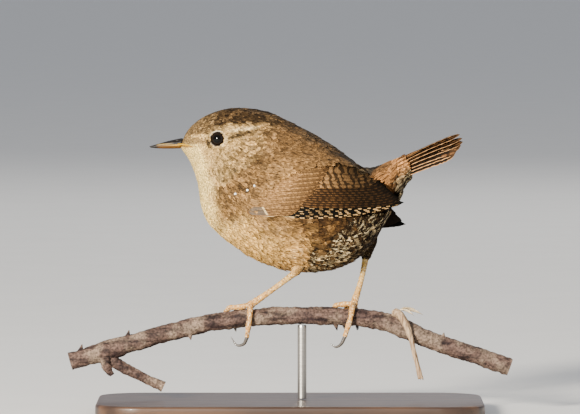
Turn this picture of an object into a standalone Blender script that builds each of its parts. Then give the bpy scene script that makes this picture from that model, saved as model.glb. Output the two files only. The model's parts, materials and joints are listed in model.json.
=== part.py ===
"""A wren standing on a cut length of branch, life size, on a plain display stand.

Metres, +Z up. The bird faces -X and its left side is towards -Y. The origin lies on the floor,
under the middle of the stand's base. Sizes are named in millimetres and become metres where a
mesh is made.
"""

import math

import bmesh
import bpy
import numpy as np
from mathutils import Matrix, Vector
from mathutils.geometry import convex_hull_2d

MM = 0.001
GAP = 0.3  # left between two pieces that touch

# Body: each station is a ring in the plane through its top point, its bottom point and +Y.
# The columns are top x, top z, bottom x, bottom z, half width, and how high the widest level lies.
BODY_STATIONS = {
    "bill root": (-31.8, 82.9, -32.7, 79.4, 2.2, 0.50),
    "lores": (-30.0, 85.6, -31.2, 77.8, 3.5, 0.50),
    "forehead": (-27.0, 88.2, -29.5, 74.8, 5.1, 0.52),
    "brow": (-23.1, 90.2, -28.2, 71.5, 6.7, 0.54),
    "eye": (-18.6, 91.4, -27.1, 67.0, 8.2, 0.52),
    "crown": (-14.1, 91.6, -26.4, 61.6, 9.6, 0.48),
    "cheek": (-9.6, 91.0, -24.0, 56.5, 11.3, 0.43),
    "nape": (-5.1, 89.9, -20.4, 53.0, 13.3, 0.42),
    "mantle": (-0.6, 87.7, -15.0, 49.0, 15.4, 0.43),
    "shoulder": (3.9, 85.4, -8.4, 45.2, 17.2, 0.45),
    "breast": (8.4, 82.9, -1.5, 43.1, 18.2, 0.47),
    "belly": (12.6, 80.3, 5.4, 42.4, 18.1, 0.48),
    "flank": (16.5, 77.6, 12.0, 43.0, 16.8, 0.48),
    "loin": (19.8, 74.7, 18.0, 45.1, 14.4, 0.48),
    "rump": (22.2, 72.7, 22.8, 49.0, 11.5, 0.50),
    "vent": (24.2, 72.4, 27.0, 54.7, 8.8, 0.52),
    "tail root": (27.0, 73.8, 30.0, 60.4, 6.8, 0.55),
    "coverts": (30.6, 75.7, 33.0, 66.1, 5.3, 0.58),
    "covert tips": (34.2, 77.5, 36.6, 71.2, 4.2, 0.60),
}
BODY_SIDES = 28
BODY_STEPS_PER_STATION = 2
BODY_ROUNDNESS = 0.94  # below 1 a ring is fuller than an ellipse

# The thin cuts that part the body, each through a point on the back and one on the breast.
NECK_FRONT_CUT = ((-7.2, 91.0), (-28.2, 72.4))
NECK_REAR_CUT = ((0.9, 87.4), (-26.7, 62.8))
RUMP_CUT = ((24.1, 73.0), (27.2, 54.0))
CUT_REACH = 3.0

# Eyes
EYE_PLACE = (-21.3, -6.0, 82.4)
EYE_RADIUS = 2.45
EYE_LOOK = (-0.22, -0.97, 0.08)
LID_RING_RADIUS = 2.2
LID_THICKNESS = 0.36
LID_DEPTH = 1.3  # of the ring's plane, in front of the eye's centre

# Bill: places along it from its root to its tip, with the culmen, the mouth line and the underside.
BILL_ROOT_X = -32.65
BILL_SLANT = 0.257  # how much further back its base lies for each step up
BILL_LENGTH = 9.5
BILL_CULMEN = (82.55, 82.05, 81.45, 80.75, 80.1)
BILL_MOUTH = (80.95, 80.8, 80.6, 80.3, 79.95)
BILL_UNDERSIDE = (79.45, 79.4, 79.4, 79.5, 79.72)
BILL_HALF_WIDTH = (1.75, 1.35, 1.0, 0.65, 0.22)
MOUTH_GAP = 0.3
NOSTRIL_PLACE = (-33.9, 1.35, 81.75)
NOSTRIL_SIZE = (0.75, 0.4, 0.28)

# Wings: places in the plane of the left side, x and z. The right wing droops a little lower.
WING_PIVOT = (-13.5, 67.0)
RIGHT_WING_DROOP_DEG = 8.5
# The sheet it is bent to, as a start, a step and the values from there on, along x and up z.
WING_DEPTH_ALONG = (-16.0, 6.0, (11.9, 14.4, 16.3, 17.5, 17.6, 16.4, 14.3, 11.9, 9.7, 8.3))
WING_DEPTH_UP = (54.0, 4.0, (-0.8, -0.2, 0.0, -0.1, -1.2, -2.9, -5.3, -8.3))
FEATHER_THICKNESS = 0.5
LONG_VANE_STEPS = (0, 0.24, 0.48, 0.71, 0.9, 1.0)
SHORT_VANE_STEPS = (0, 0.5, 0.88, 1.0)
# Each tier: count, first root, last root, first tip, last tip, bulge of the tips, half width, lift.
WING_TIERS = {
    "primaries": (6, (-3.0, 60.9), (-2.0, 63.8), (26.6, 61.4), (33.4, 65.3), 4.1, 1.9, 0.56),
    "secondaries": (5, (-2.0, 64.7), (2.0, 69.2), (31.0, 66.0), (25.2, 70.6), 0.4, 2.2, 0.60),
    "tertials": (3, (2.0, 70.8), (4.0, 75.3), (23.4, 72.0), (18.0, 76.0), 0.5, 2.6, 0.68),
    "greater_coverts": (6, (-6.6, 61.6), (0.0, 73.1), (1.5, 61.9), (11.5, 73.8), 1.0, 1.6, 1.02),
    "median_coverts": (5, (-9.6, 63.6), (-5.2, 74.0), (-3.0, 64.4), (3.0, 74.2), 0.8, 1.8, 1.42),
    "alula": (2, (-12.6, 62.8), (-12.2, 64.4), (-5.6, 60.7), (-5.8, 62.4), 0.0, 1.2, 1.1),
}
# The plates under the tiers: the outline, the height, how much higher the middle is, and how many
# steps its outline has between two points.
WING_PLATES = {
    "hand": (
        (
            (-15.2, 66.0),
            (-13.4, 61.8),
            (-6.0, 59.8),
            (8.0, 59.8),
            (20.0, 61.8),
            (24.0, 66.0),
            (18.0, 72.0),
            (8.0, 76.0),
            (-4.0, 75.6),
            (-12.6, 71.6),
        ),
        0.75,
        0.0,
        2,
    ),
    "coverts": (
        (
            (-14.6, 66.0),
            (-12.6, 62.2),
            (-5.0, 60.5),
            (-0.5, 61.0),
            (3.0, 65.0),
            (6.4, 69.5),
            (8.6, 73.2),
            (2.0, 75.2),
            (-6.0, 74.8),
            (-12.0, 71.4),
        ),
        1.15,
        0.0,
        1,
    ),
    "shoulder": (
        (
            (-15.0, 66.6),
            (-13.4, 62.8),
            (-9.4, 61.8),
            (-5.6, 64.0),
            (-3.8, 67.5),
            (-1.4, 71.5),
            (-1.6, 74.4),
            (-6.6, 74.9),
            (-12.0, 72.2),
        ),
        1.5,
        0.45,
        2,
    ),
}
WING_BED_DEPTH, WING_BED_MARGIN, WING_BED_SPACING = 0.7, 0.5, 5.0

# Tail: twelve feathers like the tiles of a roof, the middle pair on top.
TAIL_PAIRS = 6
TAIL_ROOT = (34.8, 0.0, 76.2)
TAIL_TOP_TIP = (50.9, 0.0, 83.7)
TAIL_TIP_DROP = (-1.7, 4.8)  # from the middle tip to the outermost, along x and down z
TAIL_TIP_SPREAD = 5.6
TAIL_ROOT_SPREAD = 1.9
TAIL_ROOT_DROP = 2.9
TAIL_LONGEST_PAIR_GAIN = 1.0
TAIL_FEATHER_HALF_WIDTH = 2.3
TAIL_ROOF_DEG = (14.0, 62.0)  # how far the middle and the outermost feather lean over

# Legs: the ankle, and the knuckle where the toes part.
LEFT_HIP, LEFT_ANKLE, LEFT_KNUCKLE = (6.4, -8.4, 51.5), (1.5, -6.4, 42.6), (-11.7, -0.7, 32.6)
RIGHT_HIP, RIGHT_ANKLE, RIGHT_KNUCKLE = (24.4, 6.6, 55.5), (22.8, 5.7, 46.6), (19.2, 0.6, 32.8)
THIGH_RADII = (3.0, 2.5, 1.35)
TARSUS_RADII = (0.95, 0.78, 0.8, 1.05)
TOE_RADIUS = 0.78
CLAW_RADIUS = 0.42
LEG_SIDES = 8

# Perch: the branch's centre line in the plane y = 0, with its radius.
BRANCH_LINE = (
    (-66.0, 15.5),
    (-57.0, 18.1),
    (-42.0, 22.6),
    (-27.0, 26.5),
    (-15.0, 28.3),
    (-3.0, 29.2),
    (9.0, 29.2),
    (21.0, 28.6),
    (30.0, 27.0),
    (39.0, 23.2),
    (45.0, 20.8),
    (57.0, 16.9),
    (66.0, 13.7),
)
BRANCH_RADIUS = 2.62
BRANCH_SIDES = 12
FORK_SWELLING, FORK_X, FORK_REACH = 0.45, -54.5, 5.0
KNOT_SWELLING, KNOT_X, KNOT_REACH = 0.35, 32.0, 4.5
TWIG_LINE = ((-55.0, 18.0), (-52.2, 15.0), (-47.6, 12.4), (-42.4, 9.9), (-38.0, 7.8))
TWIG_RADII = (2.0, 1.75, 1.5, 1.45, 1.6)
STUB_LINE, STUB_RADII = ((-55.6, 17.0), (-54.8, 13.6), (-53.4, 11.4)), (1.9, 1.4, 0.7)
# Thorns: place along x, turn round the branch from its top in degrees, and length.
THORNS = ((-62.0, 8, 1.5), (-48.5, -10, 1.6), (-30.4, 200, 1.5), (13.5, 172, 1.7), (46.0, -12, 1.3))
STEM_LINE = (
    (31.4, -1.2, 30.4),
    (33.6, -3.3, 28.8),
    (35.8, -4.4, 24.0),
    (37.4, -4.5, 17.5),
    (39.2, -4.3, 10.6),
)
STEM_RADII = (1.3, 1.2, 0.85, 0.65, 0.75)
BRACT_ROOT, BRACT_TIP, BRACT_HALF_WIDTH = (32.4, -1.4, 30.9), (40.0, 0.4, 29.4), 1.5

# Stand
BASE_SIZE = (116.0, 66.0, 4.0)
BASE_CORNER_RADIUS, BASE_EDGE_BEVEL = 14.0, 0.9
ROD_X, ROD_RADIUS, ROD_SIDES = 3.6, 1.35, 20

# Colours and roughness of each material
FINISHES = {
    "plumage_brown": ((0.33, 0.19, 0.09), 0.85),
    "plumage_buff": ((0.56, 0.40, 0.25), 0.85),
    "flight_feathers": ((0.26, 0.13, 0.06), 0.75),
    "eye": ((0.012, 0.009, 0.007), 0.08),
    "bill_horn": ((0.09, 0.06, 0.04), 0.35),
    "bill_pale": ((0.55, 0.34, 0.15), 0.4),
    "leg_skin": ((0.62, 0.38, 0.24), 0.5),
    "claw_horn": ((0.28, 0.22, 0.2), 0.35),
    "bark": ((0.22, 0.15, 0.12), 0.9),
    "dry_stem": ((0.42, 0.34, 0.24), 0.9),
    "stand_wood": ((0.075, 0.045, 0.03), 0.45),
    "stand_metal": ((0.5, 0.48, 0.44), 0.3),
}
METALS = {"stand_metal"}
SHARP_ANGLE_DEG = 42


def clear_scene():
    for obj in list(bpy.data.objects):
        bpy.data.objects.remove(obj, do_unlink=True)


def material(name):
    found = bpy.data.materials.get(name)
    if found:
        return found
    colour, roughness = FINISHES[name]
    made = bpy.data.materials.new(name)
    made.use_nodes = True
    shader = made.node_tree.nodes["Principled BSDF"]
    shader.inputs["Base Color"].default_value = (*colour, 1.0)
    shader.inputs["Roughness"].default_value = roughness
    shader.inputs["Metallic"].default_value = 1.0 if name in METALS else 0.0
    return made


def catmull_rom(rows, place):
    """The row at a place along a smooth curve through the rows, which are 1 apart."""
    last = len(rows) - 1
    i = min(max(int(math.floor(place)), 0), last - 1)
    f = place - i
    a, b, c, d = (np.array(rows[min(max(k, 0), last)], float) for k in range(i - 1, i + 3))
    cubic = (3 * b - a - 3 * c + d) * f**3
    return 0.5 * (2 * b + (c - a) * f + (2 * a - 5 * b + 4 * c - d) * f**2 + cubic)


def smooth_line(points, steps):
    """Points along a smooth curve through the given ones, with this many steps between each two."""
    count = (len(points) - 1) * steps
    return [catmull_rom(points, k / steps) for k in range(count + 1)]


def new_object(name, points, faces, finish=None):
    """A mesh object from points in millimetres, its faces turned outwards."""
    mesh = bpy.data.meshes.new(name)
    mesh.from_pydata([Vector(p) * MM for p in points], [], faces)
    work = bmesh.new()
    work.from_mesh(mesh)
    bmesh.ops.recalc_face_normals(work, faces=work.faces)
    work.to_mesh(mesh)
    work.free()
    if finish:
        mesh.materials.append(material(finish))
    obj = bpy.data.objects.new(name, mesh)
    bpy.context.scene.collection.objects.link(obj)
    return obj


def loft(rings):
    """Points and faces of a closed body through rings that have as many points as each other."""
    count = len(rings[0])
    points = [p for ring in rings for p in ring]
    faces = []
    for i in range(len(rings) - 1):
        for k in range(count):
            n = (k + 1) % count
            faces.append((i * count + k, i * count + n, (i + 1) * count + n, (i + 1) * count + k))
    faces.append(tuple(range(count)))
    faces.append(tuple((len(rings) - 1) * count + k for k in range(count)))
    return points, faces


def tube_rings(line, radii, sides, flat=1.0):
    """Rings across a line, without twist. The radii are spread evenly along it."""
    line = [Vector(p) for p in line]
    rings = []
    side = None
    for k, point in enumerate(line):
        ahead = (line[min(k + 1, len(line) - 1)] - line[max(k - 1, 0)]).normalized()
        if side is None:
            side = ahead.cross(Vector((0, 0, 1)) if abs(ahead.z) < 0.9 else Vector((0, 1, 0)))
        side = (side - ahead * side.dot(ahead)).normalized()
        up = side.cross(ahead)
        radius = catmull_rom([(r,) for r in radii], k / (len(line) - 1) * (len(radii) - 1))[0]
        turns = [2 * math.pi * (j + 0.5) / sides for j in range(sides)]
        rings.append([point + (side * math.cos(a) + up * math.sin(a) * flat) * radius for a in turns])
    return rings


def tube(name, line, radii, sides, finish=None):
    return new_object(name, *loft(tube_rings(line, radii, sides)), finish)


def apply_modifiers(obj):
    graph = bpy.context.evaluated_depsgraph_get()
    old = obj.data
    obj.data = bpy.data.meshes.new_from_object(obj.evaluated_get(graph))
    obj.modifiers.clear()
    bpy.data.meshes.remove(old)


def islands(work):
    """The mesh's separate surfaces, each a list of faces, the one with the largest volume first."""
    left = set(work.faces)
    found = []
    while left:
        stack, island = [left.pop()], []
        while stack:
            face = stack.pop()
            island.append(face)
            for edge in face.edges:
                for other in edge.link_faces:
                    if other in left:
                        left.remove(other)
                        stack.append(other)
        found.append(island)

    def volume(island):
        total = 0.0
        for face in island:
            corners = [loop.vert.co for loop in face.loops]
            for k in range(1, len(corners) - 1):
                total += corners[0].dot(corners[k].cross(corners[k + 1]))
        return abs(total)

    return sorted(found, key=volume, reverse=True)


def keep_largest(obj):
    """Drops all but the largest closed surface."""
    work = bmesh.new()
    work.from_mesh(obj.data)
    extra = [face for island in islands(work)[1:] for face in island]
    bmesh.ops.delete(work, geom=extra, context="FACES")
    loose = [v for v in work.verts if not v.link_faces]
    bmesh.ops.delete(work, geom=loose, context="VERTS")
    work.to_mesh(obj.data)
    work.free()


def join(obj, others, solver="MANIFOLD"):
    """Unites an object with others, which are then removed."""
    group = bpy.data.collections.new(obj.name + "_pieces")
    for other in others:
        group.objects.link(other)
    modifier = obj.modifiers.new("union", "BOOLEAN")
    modifier.operation = "UNION"
    modifier.operand_type = "COLLECTION"
    modifier.collection = group
    modifier.solver = solver
    apply_modifiers(obj)
    for other in others:
        bpy.data.objects.remove(other, do_unlink=True)
    bpy.data.collections.remove(group)
    keep_largest(obj)
    return obj


def cut(obj, cutter, solver="MANIFOLD", largest=True):
    """Takes a cutter away from an object. The cutter stays, for other cuts."""
    modifier = obj.modifiers.new("cut", "BOOLEAN")
    modifier.operation = "DIFFERENCE"
    modifier.object = cutter
    modifier.solver = solver
    apply_modifiers(obj)
    if largest:
        keep_largest(obj)
    return obj


def remove(*objects):
    for obj in objects:
        bpy.data.objects.remove(obj, do_unlink=True)


def body_ring(place, grow=0.0):
    """A ring of the body at a place along its stations, grown outwards by a clearance."""
    rows = list(BODY_STATIONS.values())
    top_x, top_z, bottom_x, bottom_z, half_width, widest = catmull_rom(rows, place)
    top, bottom = Vector((top_x, 0, top_z)), Vector((bottom_x, 0, bottom_z))
    along = (top - bottom).normalized()
    top, bottom = top + along * grow, bottom - along * grow
    ring = []
    for k in range(BODY_SIDES):
        turn = 2 * math.pi * k / BODY_SIDES
        height = math.cos(turn)
        level = widest + (1 - widest if height > 0 else widest) * height
        across = math.copysign(abs(math.sin(turn)) ** BODY_ROUNDNESS, math.sin(turn))
        centre = bottom.lerp(top, level)
        ring.append(centre - Vector((0, (half_width + grow) * across, 0)))
    return ring


def body_mesh(name, grow=0.0, finish=None):
    steps = (len(BODY_STATIONS) - 1) * BODY_STEPS_PER_STATION
    rings = [body_ring(k / BODY_STEPS_PER_STATION, grow) for k in range(steps + 1)]
    if grow:
        rings[-1] = [p + Vector((1.2, 0, 0.5)).normalized() * grow * 1.3 for p in rings[-1]]
    return new_object(name, *loft(rings), finish)


def slab(name, ends, thickness=GAP, depth=60.0):
    """A thin upright plate through two points of the plane y = 0, for parting the body."""
    first, last = (Vector((x, 0, z)) for x, z in ends)
    along = (last - first).normalized()
    first, last = first - along * CUT_REACH, last + along * CUT_REACH
    across = Vector((-along.z, 0, along.x)) * (thickness / 2)
    corners = [first - across, first + across, last + across, last - across]
    side = Vector((0, depth / 2, 0))
    points = [c - side for c in corners] + [c + side for c in corners]
    sides = [(k, (k + 1) % 4, (k + 1) % 4 + 4, k + 4) for k in range(4)]
    return new_object(name, points, sides + [(0, 1, 2, 3), (4, 5, 6, 7)])


def split_islands(obj, names_finishes):
    """Makes each separate surface of an object one named object, from front to back."""
    work = bmesh.new()
    work.from_mesh(obj.data)
    parts = []
    for island in islands(work)[: len(names_finishes)]:
        verts = sorted({v for face in island for v in face.verts}, key=lambda v: v.index)
        number = {v: k for k, v in enumerate(verts)}
        points = [v.co / MM for v in verts]
        parts.append((points, [tuple(number[v] for v in face.verts) for face in island]))
    work.free()
    remove(obj)
    parts.sort(key=lambda part: sum((p.x for p in part[0])) / len(part[0]))
    return [new_object(n, *part, f) for (n, f), part in zip(names_finishes, parts)]


def curve_at(table, place):
    """The value at a place along a smooth curve through evenly spaced values."""
    start, step, values = table
    return catmull_rom([(v,) for v in values], (place - start) / step)[0]


def wing_depth(x, z):
    """How far a folded wing lies from the middle plane, on the smooth sheet that it is bent to."""
    return curve_at(WING_DEPTH_ALONG, x) + curve_at(WING_DEPTH_UP, z)


def wing_place(side, droop_deg):
    """A function from a wing's own x, z and height to a point. Side is -1 for the left wing."""
    droop = math.radians(droop_deg)
    pivot_x, pivot_z = WING_PIVOT

    def place(x, z, height):
        dx, dz = x - pivot_x, z - pivot_z
        turned_x = pivot_x + dx * math.cos(droop) + dz * math.sin(droop)
        turned_z = pivot_z - dx * math.sin(droop) + dz * math.cos(droop)
        return Vector((turned_x, side * (wing_depth(turned_x, turned_z) + height), turned_z))

    return place


def feather_profile(s):
    """A vane's width along its length, 0 to 1: narrow at its root, full, and round at its tip."""
    if s < 0.3:
        return 0.55 + 0.45 * (s / 0.3)
    if s < 0.8:
        return 1.0
    return math.sqrt(max(1 - ((s - 0.8) / 0.21) ** 2, 0.0))


def vane(name, place, half_width, steps=LONG_VANE_STEPS):
    """A closed thin vane. Place turns the share of its length, the way across and a height into a
    point. Both faces are split into the same triangles."""
    points, faces = [], []
    for s in steps:
        reach = half_width * feather_profile(s)
        for height in (-FEATHER_THICKNESS / 2, FEATHER_THICKNESS / 2):
            points += [place(s, across * reach, height) for across in (-1, 1)]
    for a in range(0, 4 * (len(steps) - 1), 4):
        for k in (0, 2):
            faces += [(a + k, a + k + 1, a + k + 5), (a + k, a + k + 5, a + k + 4)]
        for k in (0, 1):
            faces.append((a + k, a + k + 4, a + k + 6, a + k + 2))
    for end in (0, 4 * (len(steps) - 1)):
        faces.append((end, end + 1, end + 3, end + 2))
    return new_object(name, points, faces)


def wing_vane(name, place, root, tip, half_width, lift):
    """One vane of a wing. Its lower edge stands proud of the next vane and its upper edge sinks."""
    root, tip = np.array(root, float), np.array(tip, float)
    along = (tip - root) / np.linalg.norm(tip - root)
    up = np.array((-along[1], along[0]))

    def at(s, across, height):
        x, z = root + (tip - root) * s + up * across
        tilt = -0.3 * across / half_width
        return place(x, z, lift + tilt + height)

    length = np.linalg.norm(tip - root)
    return vane(name, at, half_width, LONG_VANE_STEPS if length > 16 else SHORT_VANE_STEPS)


def wing_patch(name, place, outline, low, high, dome=0.0, rings=3):
    """A closed plate over the outline, between two heights, and thicker by dome in its middle."""
    centre = sum((np.array(p, float) for p in outline), np.zeros(2)) / len(outline)
    shares = [1 - k / rings for k in range(rings)]
    points, faces = [], []
    count = len(outline)
    for height, bulge in ((low, 0.0), (high, dome)):
        for share in shares:
            for corner in outline:
                x, z = centre + (np.array(corner) - centre) * share
                points.append(place(x, z, height + bulge * (1 - share**2)))
        points.append(place(*centre, height + bulge))
    layer = count * len(shares) + 1
    for start in (0, layer):
        for ring in range(len(shares) - 1):
            for k in range(count):
                n = (k + 1) % count
                a, b = start + ring * count, start + (ring + 1) * count
                faces += [(a + k, a + n, b + n), (a + k, b + n, b + k)]
        a = start + (len(shares) - 1) * count
        faces += [(a + k, a + (k + 1) % count, start + layer - 1) for k in range(count)]
    faces += [(k, (k + 1) % count, layer + (k + 1) % count, layer + k) for k in range(count)]
    return new_object(name, points, faces)


def tier_members(count, first_root, last_root, first_tip, last_tip, bulge):
    """The root and tip of each feather of a tier. The middle ones reach further by the bulge."""
    for k in range(count):
        share = k / max(count - 1, 1)
        root = np.array(first_root) + (np.array(last_root) - np.array(first_root)) * share
        tip = np.array(first_tip) + (np.array(last_tip) - np.array(first_tip)) * share
        along = (tip - root) / np.linalg.norm(tip - root)
        yield root, tip + along * bulge * math.sin(math.pi * share**0.85)


def closed_outline(points, steps):
    """More points on a smooth closed curve through the given ones."""
    count = len(points)
    wrapped = [points[k % count] for k in range(-2, count + 3)]
    return [tuple(catmull_rom(wrapped, 2 + k / steps)) for k in range(count * steps)]


def wing(name, place):
    """A folded wing as tiers of overlapping vanes, and the cutter that beds it in the body."""
    pieces, corners = [], []
    for label, (outline, height, dome, steps) in WING_PLATES.items():
        outline = closed_outline(outline, steps)
        corners += outline
        pieces.append(wing_patch(f"{name}_{label}", place, outline, 0.0, height, dome))
    for tier, (count, *ends, half_width, lift) in WING_TIERS.items():
        for k, (root, tip) in enumerate(tier_members(count, *ends)):
            pieces.append(wing_vane(f"{name}_{tier}_{k}", place, root, tip, half_width, lift))
            across = np.array((root[1] - tip[1], tip[0] - root[0]))
            across *= half_width / np.linalg.norm(across)
            corners += [tuple(root + across), tuple(root - across)]
            corners += [tuple(tip), tuple(tip * 0.85 + root * 0.15 - across)]
            corners += [tuple(tip * 0.85 + root * 0.15 + across)]
    made = pieces.pop(0)
    made.name = name
    made.data.materials.append(material("flight_feathers"))
    join(made, pieces)
    hull = [Vector(corners[k]) for k in convex_hull_2d([Vector(c) for c in corners])]
    middle = sum(hull, Vector((0, 0))) / len(hull)
    hull = [c + (c - middle).normalized() * WING_BED_MARGIN for c in hull]
    rim = []
    for a, b in zip(hull, hull[1:] + hull[:1]):
        pieces_of_side = max(round((b - a).length / WING_BED_SPACING), 1)
        rim += [tuple(a.lerp(b, k / pieces_of_side)) for k in range(pieces_of_side)]
    bed = wing_patch(name + "_bed", place, rim, -WING_BED_DEPTH, 14.0, rings=6)
    return made, bed


def eye_parts(side, head):
    """The eyeball, its lid ring joined to the head, and its socket."""
    label = "left" if side < 0 else "right"
    mirror = Vector((1, -side, 1))
    centre = Vector(EYE_PLACE) * mirror
    look = (Vector(EYE_LOOK) * mirror).normalized()
    turn = look.to_track_quat("Z", "Y").to_matrix()
    ball = []
    for k in range(1, 8):
        polar = math.pi * k / 8
        ring = [2 * math.pi * j / 16 for j in range(16)]
        ball.append(
            [
                centre
                + turn
                @ Vector(
                    (math.sin(polar) * math.cos(a), math.sin(polar) * math.sin(a), math.cos(polar))
                )
                * EYE_RADIUS
                for a in ring
            ]
        )
    points, faces = loft(ball)
    eye = new_object("eye_" + label, points, faces, "eye")
    socket = new_object(
        "socket_" + label,
        [centre + (p - centre) * ((EYE_RADIUS + GAP) / EYE_RADIUS) for p in points],
        faces,
    )
    rings = []
    for k in range(20):
        a = 2 * math.pi * k / 20
        out = Vector((math.cos(a), math.sin(a), 0))
        mid = out * LID_RING_RADIUS + Vector((0, 0, LID_DEPTH))
        small = [2 * math.pi * j / 6 for j in range(6)]
        rings.append(
            [
                centre
                + turn @ (mid + (out * math.cos(b) + Vector((0, 0, math.sin(b)))) * LID_THICKNESS)
                for b in small
            ]
        )
    count = len(rings[0])
    lid_points = [p for ring in rings for p in ring]
    lid_faces = [
        (
            i * count + k,
            i * count + (k + 1) % count,
            (i + 1) % 20 * count + (k + 1) % count,
            (i + 1) % 20 * count + k,
        )
        for i in range(20)
        for k in range(count)
    ]
    lid = new_object("lid_" + label, lid_points, lid_faces)
    join(head, [lid])
    cut(head, socket)
    remove(socket)
    return eye


def bill_section(share, upper):
    """A D-shaped section across the bill, with the mouth line as its straight side."""
    place = share * (len(BILL_CULMEN) - 1)
    half = catmull_rom([(w,) for w in BILL_HALF_WIDTH], place)[0]
    mouth = catmull_rom([(z,) for z in BILL_MOUTH], place)[0]
    outer = catmull_rom([(z,) for z in (BILL_CULMEN if upper else BILL_UNDERSIDE)], place)[0]
    if upper:
        inner, sides, fullness = mouth, 8, 0.9
    else:
        inner, sides, fullness = mouth - MOUTH_GAP * (1 - 0.6 * share), 6, 0.8
        half *= 0.92
    section = []
    for turn in (math.pi * k / sides for k in range(sides + 1)):
        z = inner + (outer - inner) * max(math.sin(turn), 0.0) ** fullness
        slant = BILL_SLANT * (z - BILL_MOUTH[0]) * (1 - share)
        x = BILL_ROOT_X - BILL_LENGTH * share + slant
        section.append((x, half * math.cos(turn), z))
    return section


def bill():
    steps = 7
    upper = [bill_section(k / steps, True) for k in range(steps + 1)]
    lower = [bill_section(k / steps * 0.97, False) for k in range(steps + 1)]
    made = new_object("bill_upper", *loft(upper), "bill_horn")
    new_object("bill_lower", *loft(lower), "bill_pale")
    for side in (-1, 1):
        bpy.ops.mesh.primitive_uv_sphere_add(segments=10, ring_count=6, radius=1)
        nostril = bpy.context.object
        x, y, z = NOSTRIL_PLACE
        nostril.data.transform(
            Matrix.Translation(Vector((x, y * side, z)) * MM)
            @ Matrix.Rotation(math.radians(8), 4, "Y")
            @ Matrix.Diagonal((*(Vector(NOSTRIL_SIZE) * MM), 1))
        )
        cut(made, nostril)
        remove(nostril)


def body():
    """The head, neck, torso and rump, parted by thin cuts."""
    whole = body_mesh("body")
    for name, ends in (
        ("neck_front", NECK_FRONT_CUT),
        ("neck_rear", NECK_REAR_CUT),
        ("rump", RUMP_CUT),
    ):
        plate = slab(name + "_cut", ends)
        cut(whole, plate, largest=False)
        remove(plate)
    names = (
        ("head", "plumage_brown"),
        ("neck", "plumage_buff"),
        ("torso", "plumage_buff"),
        ("rump", "plumage_brown"),
    )
    return split_islands(whole, names)


def leg(label, hip, ankle, knuckle, clearance):
    """The feathered thigh and the tarsus. The thigh meets the body along its curved surface."""
    hip, ankle, knuckle = Vector(hip), Vector(ankle), Vector(knuckle)
    thigh_line = [hip.lerp(ankle, k / 6) for k in range(7)]
    thigh = tube("thigh_" + label, thigh_line, THIGH_RADII, 12, "plumage_buff")
    cut(thigh, clearance)
    down = (knuckle - ankle).normalized()
    top = ankle + (ankle - hip).normalized() * GAP
    bottom = knuckle - down * 1.1
    bow = Vector((0.25, 0, 0)) if label == "left" else Vector((0.35, 0, 0))
    line = [top.lerp(bottom, k / 6) + bow * math.sin(math.pi * k / 6) for k in range(7)]
    tube("tarsus_" + label, line, TARSUS_RADII, LEG_SIDES, "leg_skin")
    return down


def on_branch(x, turn_deg, clear):
    """A point this far off the branch's surface, turned from its top. Positive is the far side."""
    centre = branch_centre(x)
    turn = math.radians(turn_deg)
    reach = branch_radius(x) + clear
    return centre + Vector((0, math.sin(turn), math.cos(turn))) * reach


def branch_centre(x):
    for k in range(len(BRANCH_LINE) - 1):
        if x <= BRANCH_LINE[k + 1][0] or k == len(BRANCH_LINE) - 2:
            share = (x - BRANCH_LINE[k][0]) / (BRANCH_LINE[k + 1][0] - BRANCH_LINE[k][0])
            point = catmull_rom(BRANCH_LINE, k + share)
            return Vector((point[0], 0, point[1]))


def branch_radius(x, grow=0.0):
    fork = FORK_SWELLING * math.exp(-(((x - FORK_X) / FORK_REACH) ** 2))
    knot = KNOT_SWELLING * math.exp(-(((x - KNOT_X) / KNOT_REACH) ** 2))
    return BRANCH_RADIUS + fork + knot + grow


def branch_tube(name, grow=0.0, finish=None):
    line = [Vector((p[0], 0, p[1])) for p in smooth_line(BRANCH_LINE, 2)]
    rings = []
    for k, point in enumerate(line):
        ahead = (line[min(k + 1, len(line) - 1)] - line[max(k - 1, 0)]).normalized()
        up = Vector((-ahead.z, 0, ahead.x))
        radius = branch_radius(point.x, grow)
        turns = [2 * math.pi * j / BRANCH_SIDES for j in range(BRANCH_SIDES)]
        ring = [point + (Vector((0, 1, 0)) * math.sin(a) + up * math.cos(a)) * radius for a in turns]
        rings.append(ring)
    return new_object(name, *loft(rings), finish)


def foot(label, knuckle, down, toes, claws):
    """The toes, joined at the knuckle, and each toe's claw."""
    knuckle = Vector(knuckle)
    pads = [knuckle - down * 0.8, knuckle - down * 0.2, knuckle + down * 0.35, knuckle + down * 0.7]
    made = tube("foot_" + label, pads, (0.95, 1.25, 1.2, 0.75), LEG_SIDES, "leg_skin")
    pieces = []
    for name, places in toes.items():
        line = smooth_line([knuckle, *places], 2)
        radii = [TOE_RADIUS * r for r in (1.05, 0.95, 1.08, 0.86, 1.0, 0.8, 0.86)]
        pieces.append(tube(f"{name}_{label}", line, radii, 6))
    join(made, pieces)
    for name, places in claws.items():
        line = smooth_line(places, 2)
        radii = [CLAW_RADIUS * r for r in (1.25, 1.0, 0.72, 0.3)]
        tube(f"claw_{name}_{label}", line, radii, 6, "claw_horn")


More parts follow.
